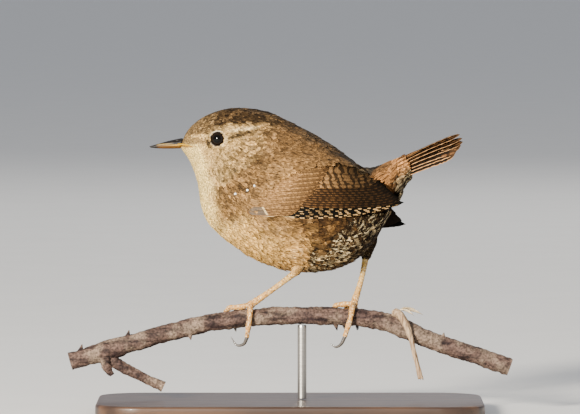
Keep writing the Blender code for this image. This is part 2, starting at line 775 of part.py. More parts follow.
def left_foot(down):
    clear = TOE_RADIUS + GAP
    toes = {
        "toe_hind": [(-11.9, -2.7, 31.6), (-12.1, -4.0, 28.6), (-12.6, -4.0, 25.4), (-12.9, -3.6, 23.0)],
        "toe_inner": [on_branch(-15.0, -14, clear), on_branch(-18.0, 6, clear), on_branch(-19.6, 50, clear)],
        "toe_middle": [on_branch(-14.2, 22, clear), on_branch(-16.6, 62, clear), on_branch(-16.6, 104, clear)],
        "toe_outer": [on_branch(-12.0, 42, clear), on_branch(-12.6, 84, clear), on_branch(-12.4, 118, clear)],
    }
    claws = {
        "hind": [(-13.0, -3.6, 22.6), (-13.9, -3.3, 20.9), (-16.0, -2.7, 20.6), (-17.7, -2.2, 23.0)],
        "inner": [on_branch(-19.9, 74, 0.9), on_branch(-20.0, 100, 0.9), on_branch(-19.6, 124, 1.0)],
        "middle": [on_branch(-16.6, 127, 0.9), on_branch(-16.4, 152, 0.9), on_branch(-16.2, 176, 1.1)],
        "outer": [on_branch(-12.3, 141, 0.9), on_branch(-12.1, 163, 0.9), on_branch(-11.9, 185, 1.1)],
    }
    foot("left", LEFT_KNUCKLE, down, toes, claws)


def right_foot(down):
    clear = TOE_RADIUS + GAP
    toes = {
        "toe_hind": [(18.7, -2.2, 32.0), (18.2, -4.0, 29.0), (17.2, -4.0, 25.6), (16.4, -3.6, 23.2)],
        "toe_inner": [on_branch(15.8, 8, clear), on_branch(13.6, 34, clear), on_branch(12.9, 74, clear)],
        "toe_middle": [on_branch(17.2, 40, clear), on_branch(16.0, 80, clear), on_branch(16.0, 116, clear)],
        "toe_outer": [on_branch(19.4, 46, clear), on_branch(19.8, 86, clear), on_branch(20.0, 118, clear)],
    }
    claws = {
        "hind": [(16.3, -3.6, 22.8), (15.3, -3.4, 20.9), (13.7, -3.0, 20.0), (12.2, -2.6, 21.0)],
        "inner": [on_branch(12.8, 98, 0.9), on_branch(12.9, 122, 0.9), on_branch(13.2, 144, 1.0)],
        "middle": [on_branch(16.0, 139, 0.9), on_branch(16.2, 163, 0.9), on_branch(16.4, 186, 1.1)],
        "outer": [on_branch(20.1, 141, 0.9), on_branch(20.2, 165, 0.9), on_branch(20.0, 188, 1.1)],
    }
    foot("right", RIGHT_KNUCKLE, down, toes, claws)


def tail():
    """Twelve vanes fanned like a roof, joined in a root that meets the rump's end."""
    root, top_tip = Vector(TAIL_ROOT), Vector(TAIL_TOP_TIP)
    vanes = []
    for side in (-1, 1):
        for pair in range(TAIL_PAIRS):
            share = pair / (TAIL_PAIRS - 1)
            lean = math.radians(TAIL_ROOF_DEG[0] + (TAIL_ROOF_DEG[1] - TAIL_ROOF_DEG[0]) * share)
            across_way = Vector((0, side * math.cos(lean), -math.sin(lean)))
            start = root + Vector(
                (0, side * TAIL_ROOT_SPREAD * (0.15 + 0.85 * share), -TAIL_ROOT_DROP * share**1.2)
            )
            gain = TAIL_LONGEST_PAIR_GAIN * math.sin(math.pi * min(share * 1.3, 1.0))
            tip = top_tip + Vector(
                (
                    TAIL_TIP_DROP[0] * share**2 + gain,
                    side * TAIL_TIP_SPREAD * (0.12 + 0.88 * share),
                    -TAIL_TIP_DROP[1] * share,
                )
            )
            along = (tip - start).normalized()
            out = across_way.cross(along) * side
            if out.z < 0:
                out = -out
            sink = 0.22 * pair + (0.11 if side > 0 else 0.0)

            def at(s, across, height, start=start, tip=tip, way=across_way, out=out, sink=sink):
                bend = out * (0.5 * math.sin(math.pi * s))
                return start.lerp(tip, s) + way * across + bend + out * (height - sink)

            vanes.append(vane(f"tail_vane_{side}_{pair}", at, TAIL_FEATHER_HALF_WIDTH))
    last = len(BODY_STATIONS) - 1
    end_ring = body_ring(last)
    middle = sum(end_ring, Vector()) / len(end_ring)
    heading = (top_tip - root).normalized()
    rings = []
    for ahead, size in ((GAP, 0.99), (1.6, 0.93), (3.2, 0.74)):
        rings.append([middle + (p - middle) * size + heading * ahead for p in end_ring])
    made = new_object("tail", *loft(rings), "flight_feathers")
    join(made, vanes)
    keep_off = body_mesh("rump_clearance", GAP)
    cut(made, keep_off)
    remove(keep_off)


def perch():
    """The cut branch with its side twig, stub and thorns, and a dried stem with a papery bract."""
    branch = branch_tube("perch_branch", finish="bark")
    twig = smooth_line([Vector((x, 0, z)) for x, z in TWIG_LINE], 2)
    stub = [Vector((x, -1.0, z)) for x, z in STUB_LINE]
    pieces = [tube("twig", twig, TWIG_RADII, 8), tube("stub", stub, STUB_RADII, 7)]
    for k, (x, turn, length) in enumerate(THORNS):
        root, tip = on_branch(x, turn, -0.8), on_branch(x + 0.5, turn, length)
        line = [root.lerp(tip, share) for share in (0, 0.45, 1)]
        pieces.append(tube(f"thorn_{k}", line, (1.0, 0.6, 0.12), 5))
    join(branch, pieces)
    stem = tube("perch_stem", smooth_line(STEM_LINE, 2), STEM_RADII, 7, "dry_stem")
    root, tip = Vector(BRACT_ROOT), Vector(BRACT_TIP)

    def at(s, across, height):
        lift = 0.6 * math.sin(math.pi * s) + height
        return root.lerp(tip, s) + Vector((0.0, across, lift))

    join(stem, [vane("bract", at, BRACT_HALF_WIDTH)])
    clearance = branch_tube("branch_clearance", GAP)
    cut(stem, clearance)
    return clearance


def stand(clearance):
    """A flat base with rounded corners, and one rod up to the branch."""
    bpy.ops.mesh.primitive_cube_add(size=1)
    base = bpy.context.object
    base.name = "stand_base"
    base.data.transform(
        Matrix.Translation((0, 0, BASE_SIZE[2] / 2 * MM))
        @ Matrix.Diagonal((*(Vector(BASE_SIZE) * MM), 1))
    )
    work = bmesh.new()
    work.from_mesh(base.data)
    upright = [e for e in work.edges if abs(e.verts[0].co.z - e.verts[1].co.z) > MM]
    bmesh.ops.bevel(
        work, geom=upright, offset=BASE_CORNER_RADIUS * MM, segments=7, affect="EDGES", profile=0.5
    )
    rim = [e for e in work.edges if min(v.co.z for v in e.verts) > (BASE_SIZE[2] - 0.01) * MM]
    bmesh.ops.bevel(
        work, geom=rim, offset=BASE_EDGE_BEVEL * MM, segments=2, affect="EDGES", profile=0.5
    )
    work.to_mesh(base.data)
    work.free()
    base.data.materials.append(material("stand_wood"))
    foot_z = BASE_SIZE[2] + GAP
    top = branch_centre(ROD_X)
    line = [Vector((ROD_X, 0, foot_z)), Vector((ROD_X, 0, top.z))]
    rod = tube("stand_rod", line, (ROD_RADIUS, ROD_RADIUS), ROD_SIDES, "stand_metal")
    cut(rod, clearance)


def finish_shading():
    for obj in bpy.context.scene.objects:
        if obj.type == "MESH":
            obj.data.shade_smooth()
            obj.data.set_sharp_from_angle(angle=math.radians(SHARP_ANGLE_DEG))


def main():
    clear_scene()
    head, neck, torso, rump = body()
    eye_parts(-1, head)
    eye_parts(1, head)
    bill()
    for label, side, droop in (("left", -1, 0.0), ("right", 1, RIGHT_WING_DROOP_DEG)):
        _, clearance = wing("wing_" + label, wing_place(side, droop))
        for part in (neck, torso, rump):
            cut(part, clearance)
        remove(clearance)
    skin = body_mesh("body_clearance", GAP)
    left_down = leg("left", LEFT_HIP, LEFT_ANKLE, LEFT_KNUCKLE, skin)
    right_down = leg("right", RIGHT_HIP, RIGHT_ANKLE, RIGHT_KNUCKLE, skin)
    remove(skin)
    left_foot(left_down)
    right_foot(right_down)
    tail()
    clearance = perch()
    stand(clearance)
    remove(clearance)
    finish_shading()


main()
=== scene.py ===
"""A wren on a cut length of branch, on a plain display stand, with its plumage feather by feather.

The bird faces -X, its left side is towards -Y and +Z is up. Sizes are named in millimetres and
become metres where a mesh is made. Colours are given as they look on a screen.
"""

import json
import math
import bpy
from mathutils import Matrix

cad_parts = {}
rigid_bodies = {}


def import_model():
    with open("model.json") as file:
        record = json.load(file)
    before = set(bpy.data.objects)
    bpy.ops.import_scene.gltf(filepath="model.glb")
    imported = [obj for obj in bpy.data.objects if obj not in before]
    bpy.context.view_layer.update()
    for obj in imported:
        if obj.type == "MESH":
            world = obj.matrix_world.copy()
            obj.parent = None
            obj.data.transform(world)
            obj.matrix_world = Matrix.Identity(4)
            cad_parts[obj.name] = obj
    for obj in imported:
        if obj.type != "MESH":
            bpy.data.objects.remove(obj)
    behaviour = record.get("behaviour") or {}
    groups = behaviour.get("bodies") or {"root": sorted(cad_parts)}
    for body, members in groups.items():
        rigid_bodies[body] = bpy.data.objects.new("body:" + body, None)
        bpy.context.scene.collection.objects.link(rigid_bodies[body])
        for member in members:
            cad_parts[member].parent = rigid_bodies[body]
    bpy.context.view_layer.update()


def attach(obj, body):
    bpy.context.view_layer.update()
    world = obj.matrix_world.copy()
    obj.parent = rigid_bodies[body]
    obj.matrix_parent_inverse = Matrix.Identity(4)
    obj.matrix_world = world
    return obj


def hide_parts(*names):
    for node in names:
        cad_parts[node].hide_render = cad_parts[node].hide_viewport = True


bl_info = {
    "name": "Wren on a branch",
    "version": (1, 0, 0),
    "blender": (4, 5, 0),
    "location": "3D View > Sidebar > Wren",
    "description": "Builds a life-size wren, its perch and its display stand",
    "category": "Add Mesh",
}

import typing

import bmesh
import bpy
import numpy as np
from mathutils import Vector, kdtree

for leftover in list(bpy.data.objects):
    bpy.data.objects.remove(leftover, do_unlink=True)
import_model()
BODY = "root"
MM = 0.001
SIDES = {-1: "left", 1: "right"}

# Plumage outline: top x and z, bottom x and z, half width and the height of the widest level.
STATIONS = np.array(
    [
        (-31.8, 82.9, -32.7, 79.4, 2.2, 0.50),  # bill root
        (-30.0, 85.6, -31.2, 77.8, 3.5, 0.50),  # lores
        (-27.0, 88.2, -29.5, 74.8, 5.1, 0.52),  # forehead
        (-23.1, 90.2, -28.2, 71.5, 6.7, 0.54),  # brow
        (-18.6, 91.4, -27.1, 67.0, 8.2, 0.52),  # eye
        (-14.1, 91.6, -26.4, 61.6, 9.6, 0.48),  # crown
        (-9.6, 91.0, -24.0, 56.5, 11.3, 0.43),  # cheek
        (-5.1, 89.9, -20.4, 53.0, 13.3, 0.42),  # nape
        (-0.6, 87.7, -15.0, 49.0, 15.4, 0.43),  # mantle
        (3.9, 85.4, -8.4, 45.2, 17.2, 0.45),  # shoulder
        (8.4, 82.9, -1.5, 43.1, 18.2, 0.47),  # breast
        (12.6, 80.3, 5.4, 42.4, 18.1, 0.48),  # belly
        (16.5, 77.6, 12.0, 43.0, 16.8, 0.48),  # flank
        (19.8, 74.7, 18.0, 45.1, 14.4, 0.48),  # loin
        (22.2, 72.7, 22.8, 49.0, 11.5, 0.50),  # rump
        (24.2, 72.4, 27.0, 54.7, 8.8, 0.52),  # vent
        (27.0, 73.8, 30.0, 60.4, 6.8, 0.55),  # tail root
        (30.6, 75.7, 33.0, 66.1, 5.3, 0.58),  # coverts
        (34.2, 77.5, 36.6, 71.2, 4.2, 0.60),  # covert tips
    ]
)
BODY_ROUNDNESS = 0.94
LAST_STATION = len(STATIONS) - 1

# How deep the skin lies in the plumage, station by station
COAT_DEPTH = (0.2, 0.25, 0.35, 0.4, 0.45, 0.6, 0.75, 0.9, 1.0) + (1.1,) * 6 + (1.0, 0.8, 0.7, 0.6)
SKIN_RINGS, SKIN_SIDES = 190, 120

# Feathers of the body, station by station: how far apart they stand and how long they are
FEATHER_SPACING = (
    (0.38, 0.46, 0.56, 0.64, 0.72, 0.86, 1.02, 1.16, 1.3) + (1.42,) * 6 + (1.3, 1.15, 1.1, 1.1)
)
FEATHER_LENGTH = (
    (1.0, 1.35, 1.8, 2.2, 2.6, 3.1, 3.9, 4.7, 5.4) + (6.0,) * 5 + (6.2, 6.0, 5.6, 5.2, 5.2)
)

# Eye
EYE_CENTRE = np.array((-21.3, -6.0, 82.4))
EYE_RADIUS = 2.45
EYE_LOOK = np.array((-0.22, -0.97, 0.08))
LID_RADIUS, LID_DEPTH = 2.16, 1.34

# Folded wing: the sheet that it is bent to, as a start, a step and the values from there on
WING_DEPTH_ALONG = (-16.0, 6.0, (11.9, 14.4, 16.3, 17.5, 17.6, 16.4, 14.3, 11.9, 9.7, 8.3))
WING_DEPTH_UP = (54.0, 4.0, (-0.8, -0.2, 0.0, -0.1, -1.2, -2.9, -5.3, -8.3))
WING_PIVOT = (-13.5, 67.0)
WING_DROOP_DEG = {-1: 0.0, 1: 8.5}
WING_STRETCH = {-1: 1.0, 1: 1.04}


def srgb(r, g, b):
    """A screen colour, 0 to 255, as linear light."""
    values = np.array((r, g, b), float) / 255
    return np.where(values <= 0.04045, values / 12.92, ((values + 0.055) / 1.055) ** 2.4)


def smooth(low, high, value):
    """0 below low, 1 above high and a smooth rise between."""
    share = np.clip((np.asarray(value, float) - low) / (high - low), 0, 1)
    return share * share * (3 - 2 * share)


def fall(low, high, value):
    """1 below low, 0 above high and a smooth drop between."""
    return 1 - smooth(low, high, value)


def circle(count):
    return np.linspace(0, 2 * np.pi, count, endpoint=False)


def off_back(turn):
    """How many degrees a turn lies from the middle of the back, to either side."""
    return np.degrees(np.abs(np.arctan2(np.sin(turn), np.cos(turn))))


def mirrored(side):
    """What takes a place on the left side to this side."""
    return np.array((1, -side, 1))


def unit(vectors):
    vectors = np.asarray(vectors, float)
    return vectors / np.maximum(np.linalg.norm(vectors, axis=-1, keepdims=True), 1e-9)


def spline(rows, places):
    """Rows along a smooth curve through the given rows, which are 1 apart."""
    rows = np.asarray(rows, float)
    places = np.asarray(places, float)
    last = len(rows) - 1
    i = np.clip(np.floor(places).astype(int), 0, last - 1)
    f = places - i
    if rows.ndim > 1:
        f = f[..., None]
    a, b, c, d = (rows[np.clip(i + k, 0, last)] for k in (-1, 0, 1, 2))
    cubic = (3 * b - a - 3 * c + d) * f**3
    return 0.5 * (2 * b + (c - a) * f + (2 * a - 5 * b + 4 * c - d) * f**2 + cubic)


def body_point(u, turn, grow=0.0):
    """Points of the plumage's outline. Turn is 0 on the back, a quarter turn on the left side."""
    u, turn = np.broadcast_arrays(np.asarray(u, float), np.asarray(turn, float))
    rows = spline(STATIONS, u)
    zero = np.zeros_like(u)
    top = np.stack([rows[..., 0], zero, rows[..., 1]], -1)
    bottom = np.stack([rows[..., 2], zero, rows[..., 3]], -1)
    grow = np.broadcast_to(grow, u.shape)
    along = unit(top - bottom)
    top, bottom = top + along * grow[..., None], bottom - along * grow[..., None]
    height = np.cos(turn)
    widest = rows[..., 5]
    level = widest + np.where(height > 0, 1 - widest, widest) * height
    sine = np.sin(turn)
    across = np.sign(sine) * np.abs(sine) ** BODY_ROUNDNESS
    points = bottom + (top - bottom) * level[..., None]
    points[..., 1] -= (rows[..., 4] + grow) * across
    return points


def body_frame(u, turn):
    """The surface's point, its way towards the tail, its way round and its outward normal, with
    how many millimetres one step of u and of turn are."""
    step = 1e-3
    point = body_point(u, turn)
    back = (body_point(u + step, turn) - body_point(u - step, turn)) / (2 * step)
    around = (body_point(u, turn + step) - body_point(u, turn - step)) / (2 * step)
    u_size = np.linalg.norm(back, axis=-1)
    turn_size = np.linalg.norm(around, axis=-1)
    normal = unit(np.cross(around, back))
    middle = spline(STATIONS, u)
    inner = np.stack(
        [(middle[..., 0] + middle[..., 2]) / 2, 0 * u, (middle[..., 1] + middle[..., 3]) / 2], -1
    )
    flip = np.sum(normal * (point - inner), -1) < 0
    normal[flip] *= -1
    return point, unit(back), unit(around), normal, u_size, turn_size


def curve_at(table, place):
    start, step, values = table
    return spline(
        values, np.clip((np.asarray(place, float) - start) / step, 0, len(values) - 1.001)
    )


def wing_depth(x, z):
    """How far the sheet of a folded wing lies from the middle plane."""
    return curve_at(WING_DEPTH_ALONG, x) + curve_at(WING_DEPTH_UP, z)


def droop(x, z, side, back=False):
    """Turns wing places into body places, or back. The right wing hangs a little lower."""
    angle = math.radians(WING_DROOP_DEG[side]) * (-1 if back else 1)
    long = WING_STRETCH[side]
    dx, dz = (x - WING_PIVOT[0]) * (1 if back else long), z - WING_PIVOT[1]
    across = dx * math.cos(angle) + dz * math.sin(angle)
    return (
        WING_PIVOT[0] + across / (long if back else 1),
        WING_PIVOT[1] - dx * math.sin(angle) + dz * math.cos(angle),
    )


def inside_depth(outline, x, z):
    """How far points lie inside an outline, in its own plane. Outside it is below zero."""
    outline = np.asarray(outline, float)
    points = np.stack([x, z], -1)
    nearest = np.full(points.shape[:-1], 1e9)
    inside = np.zeros(points.shape[:-1], bool)
    for a, b in zip(outline, np.roll(outline, -1, axis=0)):
        edge = b - a
        share = np.clip(((points - a) @ edge) / (edge @ edge), 0, 1)
        nearest = np.minimum(nearest, np.linalg.norm(points - a - share[..., None] * edge, axis=-1))
        crosses = (a[1] > points[..., 1]) != (b[1] > points[..., 1])
        with np.errstate(divide="ignore", invalid="ignore"):
            at = a[0] + (points[..., 1] - a[1]) * edge[0] / edge[1]
        inside ^= crosses & (points[..., 0] < at)
    return np.where(inside, nearest, -nearest)


class Signal:
    """A node's output. Python's operators on it add the Math nodes they stand for."""

    def __init__(self, graph, socket):
        self.graph, self.socket = graph, socket

    def math(self, operation, *values):
        return self.graph.node("ShaderNodeMath", {"operation": operation}, *values)

    def sine(self):
        return self.math("SINE", self)

    def wave(self, period):
        return (self * (2 * math.pi / period)).sine()

    def above_zero(self):
        return self.math("GREATER_THAN", self, 0.0)

    def at_least(self, other):
        return self.math("MAXIMUM", self, other)

    def step(self, low, high):
        """0 below low, 1 above high and a smooth rise between."""
        smoothly = {"interpolation_type": "SMOOTHSTEP"}
        return self.graph.node("ShaderNodeMapRange", smoothly, self, From_Min=low, From_Max=high)

    def fall(self, low, high):
        """1 below low, 0 above high and a smooth drop between."""
        return 1 - self.step(low, high)

    def band(self, low, full, full_to, high):
        """0 outside low and high, and 1 between the two in the middle."""
        return self.step(low, full) * self.fall(full_to, high)

    __abs__ = lambda self: self.math("ABSOLUTE", self)
    __add__ = __radd__ = lambda self, other: self.math("ADD", self, other)
    __sub__ = lambda self, other: self.math("SUBTRACT", self, other)
    __rsub__ = lambda self, other: self.math("SUBTRACT", other, self)
    __mul__ = __rmul__ = lambda self, other: self.math("MULTIPLY", self, other)
    __pow__ = lambda self, other: self.math("POWER", self, other)


class Graph:
    """A node tree, and the one way in which nodes are added to it."""

    def __init__(self, tree):
        self.tree = tree

    def node(self, kind, settings, *values, output=0, **named):
        """Adds a node: its settings first, then its inputs by their order or by their names."""
        made = self.tree.nodes.new(kind)
        for key, value in settings.items():
            setattr(made, key, value)
        named = {key.replace("_", " "): value for key, value in named.items()}
        for key, value in [*enumerate(values), *named.items()]:
            self.put(made.inputs[key], value)
        return Signal(self, made.outputs[output])

    def put(self, socket, value):
        """Links a signal or sets a value. A plain tuple for a colour is as seen on a screen."""
        if isinstance(value, Signal):
            self.tree.links.new(value.socket, socket)
        elif socket.type == "RGBA":
            value = srgb(*value) if isinstance(value, tuple) else value
            socket.default_value = (*[float(v) for v in value], 1.0)
        else:
            socket.default_value = value


class Surface(Graph):
    """A material and the node tree that gives it its look."""

    def __init__(self, name, roughness, specular=0.5, coat=0.0, metallic=0.0):
        self.material = bpy.data.materials.new(name)
        self.material.use_nodes = True
        super().__init__(self.material.node_tree)
        self.inputs = self.tree.nodes["Principled BSDF"].inputs
        self.inputs["Roughness"].default_value = roughness
        self.inputs["Specular IOR Level"].default_value = specular
        self.inputs["Coat Weight"].default_value = coat
        self.inputs["Metallic"].default_value = metallic

    def attribute(self, name, output="Fac"):
        return self.node("ShaderNodeAttribute", {"attribute_name": name}, output=output)

    def place(self):
        return self.node("ShaderNodeTexCoord", {}, output="Object")

    def parts(self, vector):
        split = self.node("ShaderNodeSeparateXYZ", {}, vector)
        return [Signal(self, output) for output in split.socket.node.outputs]

    def noise(self, vector, scale=1.0, detail=3.0):
        """Noise at a vector. A plain tuple for the scale is one scale for each way."""
        if isinstance(vector, tuple):
            vector = self.node("ShaderNodeCombineXYZ", {}, *vector)
        if isinstance(scale, tuple):
            vector = self.node("ShaderNodeVectorMath", {"operation": "MULTIPLY"}, vector, scale)
            scale = 1.0
        return self.node(
            "ShaderNodeTexNoise", {}, vector, Scale=scale, Detail=detail, Roughness=0.55
        )

    def mix(self, share, first, second, blend="MIX"):
        """A blend of two colours."""
        made = self.tree.nodes.new("ShaderNodeMix")
        made.data_type, made.blend_type, made.clamp_factor = "RGBA", blend, True
        self.put(made.inputs[0], share)
        for socket, value in zip([s for s in made.inputs if s.type == "RGBA"], (first, second)):
            self.put(socket, value)
        return Signal(self, next(s for s in made.outputs if s.type == "RGBA"))

    def shade(self, colour, amount):
        """A colour made lighter or darker by an amount that is 1 where nothing changes."""
        grey = self.node("ShaderNodeCombineColor", {}, amount, amount, amount)
        return self.mix(1.0, colour, grey, "MULTIPLY")

    def finish(self, colour, height=None, strength=0.0, depth_mm=0.0, roughness=None):
        """Gives the surface its colour, and a relief and an uneven gloss where it has them."""
        self.put(self.inputs["Base Color"], colour)
        if roughness:
            self.put(self.inputs["Roughness"], roughness)
        if height:
            relief = {"Height": height, "Strength": strength, "Distance": depth_mm * MM}
            self.put(self.inputs["Normal"], self.node("ShaderNodeBump", {}, **relief))
        return self


def placed(name, data):
    """A new object with this data, in the scene."""
    obj = bpy.data.objects.new(name, data)
    bpy.context.scene.collection.objects.link(obj)
    return obj


def mesh_object(name, points, faces, surface):
    """A smooth mesh object from points in millimetres."""
    mesh = bpy.data.meshes.new(name)
    mesh.from_pydata(np.asarray(points, float) * MM, [], [tuple(map(int, f)) for f in faces])
    mesh.materials.append(surface.material)
    mesh.shade_smooth()
    return placed(name, mesh)


def turned_out(obj):
    """Turns every face of a closed mesh outwards."""
    work = bmesh.new()
    work.from_mesh(obj.data)
    bmesh.ops.recalc_face_normals(work, faces=work.faces)
    work.to_mesh(obj.data)
    work.free()
    return obj


def loft(rings, wrap=False):
    """Points and faces through rings that have as many points as each other. Unless the last
    joins the first, both ends are closed."""
    rings = np.asarray(rings, float)
    count, sides = rings.shape[:2]
    grid = np.arange(count * sides).reshape(count, sides)
    upper = np.roll(grid, -1, axis=0) if wrap else grid[1:]
    lower = grid if wrap else grid[:-1]
    quads = np.stack([lower, np.roll(lower, -1, 1), np.roll(upper, -1, 1), upper], -1)
    faces = [tuple(q) for q in quads.reshape(-1, 4)]
    points = rings.reshape(-1, 3)
    if not wrap:
        ends = [rings[0].mean(axis=0), rings[-1].mean(axis=0)]
        points = np.concatenate([points, ends])
        for k in range(sides):
            n = (k + 1) % sides
            faces.append((grid[0, n], grid[0, k], count * sides))
            faces.append((grid[-1, k], grid[-1, n], count * sides + 1))
    return points, faces


def tube(line, radii, sides, relief=None):
    """Rings round a line. Relief gives each ring point's extra radius from its share and turn."""
    line = np.asarray(line, float)
    ahead = unit(np.gradient(line, axis=0))
    side = unit(np.cross(ahead, np.broadcast_to((0, 0, 1), ahead.shape)))
    lift = np.cross(side, ahead)
    share = np.linspace(0, 1, len(line))
    radius = spline(radii, share * (len(radii) - 1))
    turns = 2 * np.pi * np.arange(sides) / sides
    reach = radius[:, None] + (relief(share[:, None], turns[None, :]) if relief else 0)
    across, up = np.cos(turns)[None, :, None], np.sin(turns)[None, :, None]
    return line[:, None] + (side[:, None] * across + lift[:, None] * up) * reach[..., None]


def ring_object(name, rings, look, wrap=False):
    """A closed object over rings of points."""
    return turned_out(mesh_object(name, *loft(np.asarray(rings), wrap), look))


def tube_object(name, line, radii, sides, look, relief=None):
    """A closed tube round a line."""
    return ring_object(name, tube(line, radii, sides, relief), look)


def smooth_line(points, steps):
    points = np.asarray(points, float)
    return spline(points, np.linspace(0, len(points) - 1, (len(points) - 1) * steps + 1))


def set_values(mesh, name, values, domain="POINT"):
    """Writes numbers, vectors or colours to a mesh attribute, made where it is missing."""
    values = np.asarray(values, np.float32)
    width = values.shape[1] if values.ndim > 1 else 1
    kinds = {1: ("FLOAT", "value"), 3: ("FLOAT_VECTOR", "vector"), 4: ("FLOAT_COLOR", "color")}
    kind, key = kinds[width]
    found = mesh.attributes.get(name) or mesh.attributes.new(name, kind, domain)
    found.data.foreach_set(key, values.ravel())


def read(items, key, width=1, kind=np.float32):
    """One property of all of a mesh's items."""
    values = np.empty(len(items) * width, kind)
    items.foreach_get(key, values)
    return values.reshape(-1, width) if width > 1 else values


def positions(mesh):
    return read(mesh.vertices, "co", 3).astype(float) / MM


def set_patch_map(mesh, places):
    """Writes the OFBake map, from one place for each corner of a face."""
    layer = mesh.uv_layers.get("OFBake") or mesh.uv_layers.new(name="OFBake")
    layer.data.foreach_set("uv", np.asarray(places, np.float32).ravel())


def corner_verts(mesh):
    return read(mesh.loops, "vertex_index", 1, np.int32)


def corner_faces(mesh):
    return np.repeat(np.arange(len(mesh.polygons)), read(mesh.polygons, "loop_total", 1, np.int32))


def finished(obj, replaces=()):
    """A finished piece rides on the body and stands for the CAD nodes that it hides. One that
    stands for a node of its own name has that name with _fine after it."""
    plain, *numbered = obj.name.split(".")
    obj.name = obj.data.name = plain + ("_fine" if numbered else "")
    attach(obj, BODY)
    if replaces:
        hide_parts(*replaces)
    return obj


def plain_mesh(obj, name):
    """The object's evaluated mesh in a new object, with the old one removed."""
    graph = bpy.context.evaluated_depsgraph_get()
    mesh = bpy.data.meshes.new_from_object(obj.evaluated_get(graph))
    bpy.data.objects.remove(obj, do_unlink=True)
    mesh.name = name
    return placed(name, mesh)


# The bird's markings. A marking is a colour and how strongly each place of the plumage takes it.
SCREEN_COLOURS = {
    "crown": (77, 58, 35), "forehead": (152, 122, 80), "nape": (144, 117, 80),
    # The ridge colour is painted shade for the tops of the back and head, partly their own darker
    # feathers
    "mantle": (130, 97, 59), "ridge": (80, 67, 50), "side": (150, 115, 71),
    "cheek": (246, 202, 130), "brow": (236, 206, 150), "stripe": (52, 39, 25),
    "throat": (255, 222, 140), "breast": (216, 169, 94), "belly": (206, 156, 88),
    # The rear_flank colour is partly painted shade under the rear of the wing
    "flank": (136, 99, 54), "rear_flank": (60, 40, 19), "vent": (62, 49, 32),
    "rump": (196, 138, 82), "dark": (20, 14, 8), "cream": (232, 200, 146), "grey": (78, 72, 62),
    "white": (236, 214, 166), "fold": (138, 104, 63), "gape": (126, 76, 12),
    "streaked": (48, 33, 17),
}
COLOURS = {name: srgb(*colour) for name, colour in SCREEN_COLOURS.items()}
# Where the underside's pale colour begins, station by station, in degrees from the back
PALE_FROM = (
    (0, 2, 4, 5.5, 6.5, 8, 9.5, 10.5, 11.5, 13, 15),
    (84, 96, 116, 132, 124, 124, 120, 124, 130, 142, 150),
)
# Lines of the head in the side view: their points, half widths and softness
HEAD_LINES = {
    "brow": (
        ((-19.6, 85.3), (-17.8, 85.4), (-16.0, 85.7), (-13.8, 86.1), (-11.6, 86.4), (-10.2, 86.3)),
        (0.1, 0.34, 0.44, 0.46, 0.38, 0.1), 0.35,
    ),
    "eye_shade": (
        ((-28.2, 83.9), (-25.0, 84.9), (-22.0, 85.6), (-19.8, 86.2)), (0.5, 0.7, 0.75, 0.3), 0.5,
    ),
    "stripe": (
        ((-18.7, 82.8), (-16.8, 83.7), (-15.0, 84.4), (-12.9, 85.0), (-11.0, 85.3)),
        (0.4, 0.95, 0.9, 0.55, 0.25), 0.5,
    ),
    "lore": (((-31.8, 81.9), (-27.5, 81.9), (-24.6, 81.8)), (1.2, 1.0, 0.7), 0.35),
    "gape": (((-32.6, 80.3), (-30.6, 80.2), (-28.6, 80.3)), (0.45, 0.35, 0.15), 0.25),
    "lore_spot": (((-24.8, 82.0), (-24.5, 81.1), (-23.7, 80.1)), (0.45, 0.75, 0.3), 0.3),
}
CROWN_EDGE = (
    (-31, -30, -25.5, -24, -22.5, -21, -18.9, -16.5, -14.1, -12, -9.6, -4, 2),
    (83.0, 83.2, 83.8, 84.7, 85.7, 86.2, 86.6, 87.1, 87.5, 87.5, 87.4, 87.0, 84.0),
)
GREY_PATCHES = (((-20.9, 64.2), 1.3), ((-16.8, 73.9), 0.7))
DARK_SPOTS = (
    ((-14.7, 77.8), 0.45), ((-12.6, 79.0), 0.4), ((-25.4, 84.1), 0.4), ((-19.8, 78.6), 0.4),
)
# Painted shade where the neck's feathers fold over the side of the breast
FOLD_PAINTED_SHADE = ((-18.4, 72.6), 5.0)
SHOULDER_LIGHT = ((-3.0, 70.5), 6.0)
WHITE_TIPS = ((-16.3, 66.3), (-12.7, 67.5), (-10.6, 68.8))


def near_line(name, x, z):
    """1 on one of the head's lines in the side view and 0 off it, with a soft edge."""
    line, half_widths, softness = HEAD_LINES[name]
    line, points = np.asarray(line, float), np.stack([x, z], -1)
    best = np.zeros(points.shape[:-1])
    for a, b, first, last in zip(line[:-1], line[1:], half_widths[:-1], half_widths[1:]):
        edge = b - a
        share = np.clip(((points - a) @ edge) / (edge @ edge), 0, 1)
        gap = np.linalg.norm(points - a - share[..., None] * edge, axis=-1)
        width = first + (last - first) * share
        best = np.maximum(best, fall(-softness, softness, gap - width))
    return best


def blend(colours, colour, share):
    return colours + (np.asarray(colour) - colours) * np.clip(share, 0, 1)[..., None]


def near(spot, x, z):
    """1 near the middle of a round spot, given as its place and radius, and 0 off it."""
    place, radius = spot
    return fall(radius * 0.5, radius * 1.4, np.hypot(x - place[0], z - place[1]))


def clumps(seed, shortest, longest, count=30):
    """A seeded uneven value through space, about -2 to 2, with lumps between two sizes."""
    draw = np.random.default_rng(seed)
    size = np.exp(draw.uniform(math.log(shortest), math.log(longest), count))
    ways = unit(draw.normal(0, 1, (count, 3))) * (2 * np.pi / size)[:, None]
    phase = draw.uniform(0, 2 * np.pi, count)

    def value(points):
        return np.sin(points @ ways.T + phase).sum(-1) / math.sqrt(count / 2)

    return value


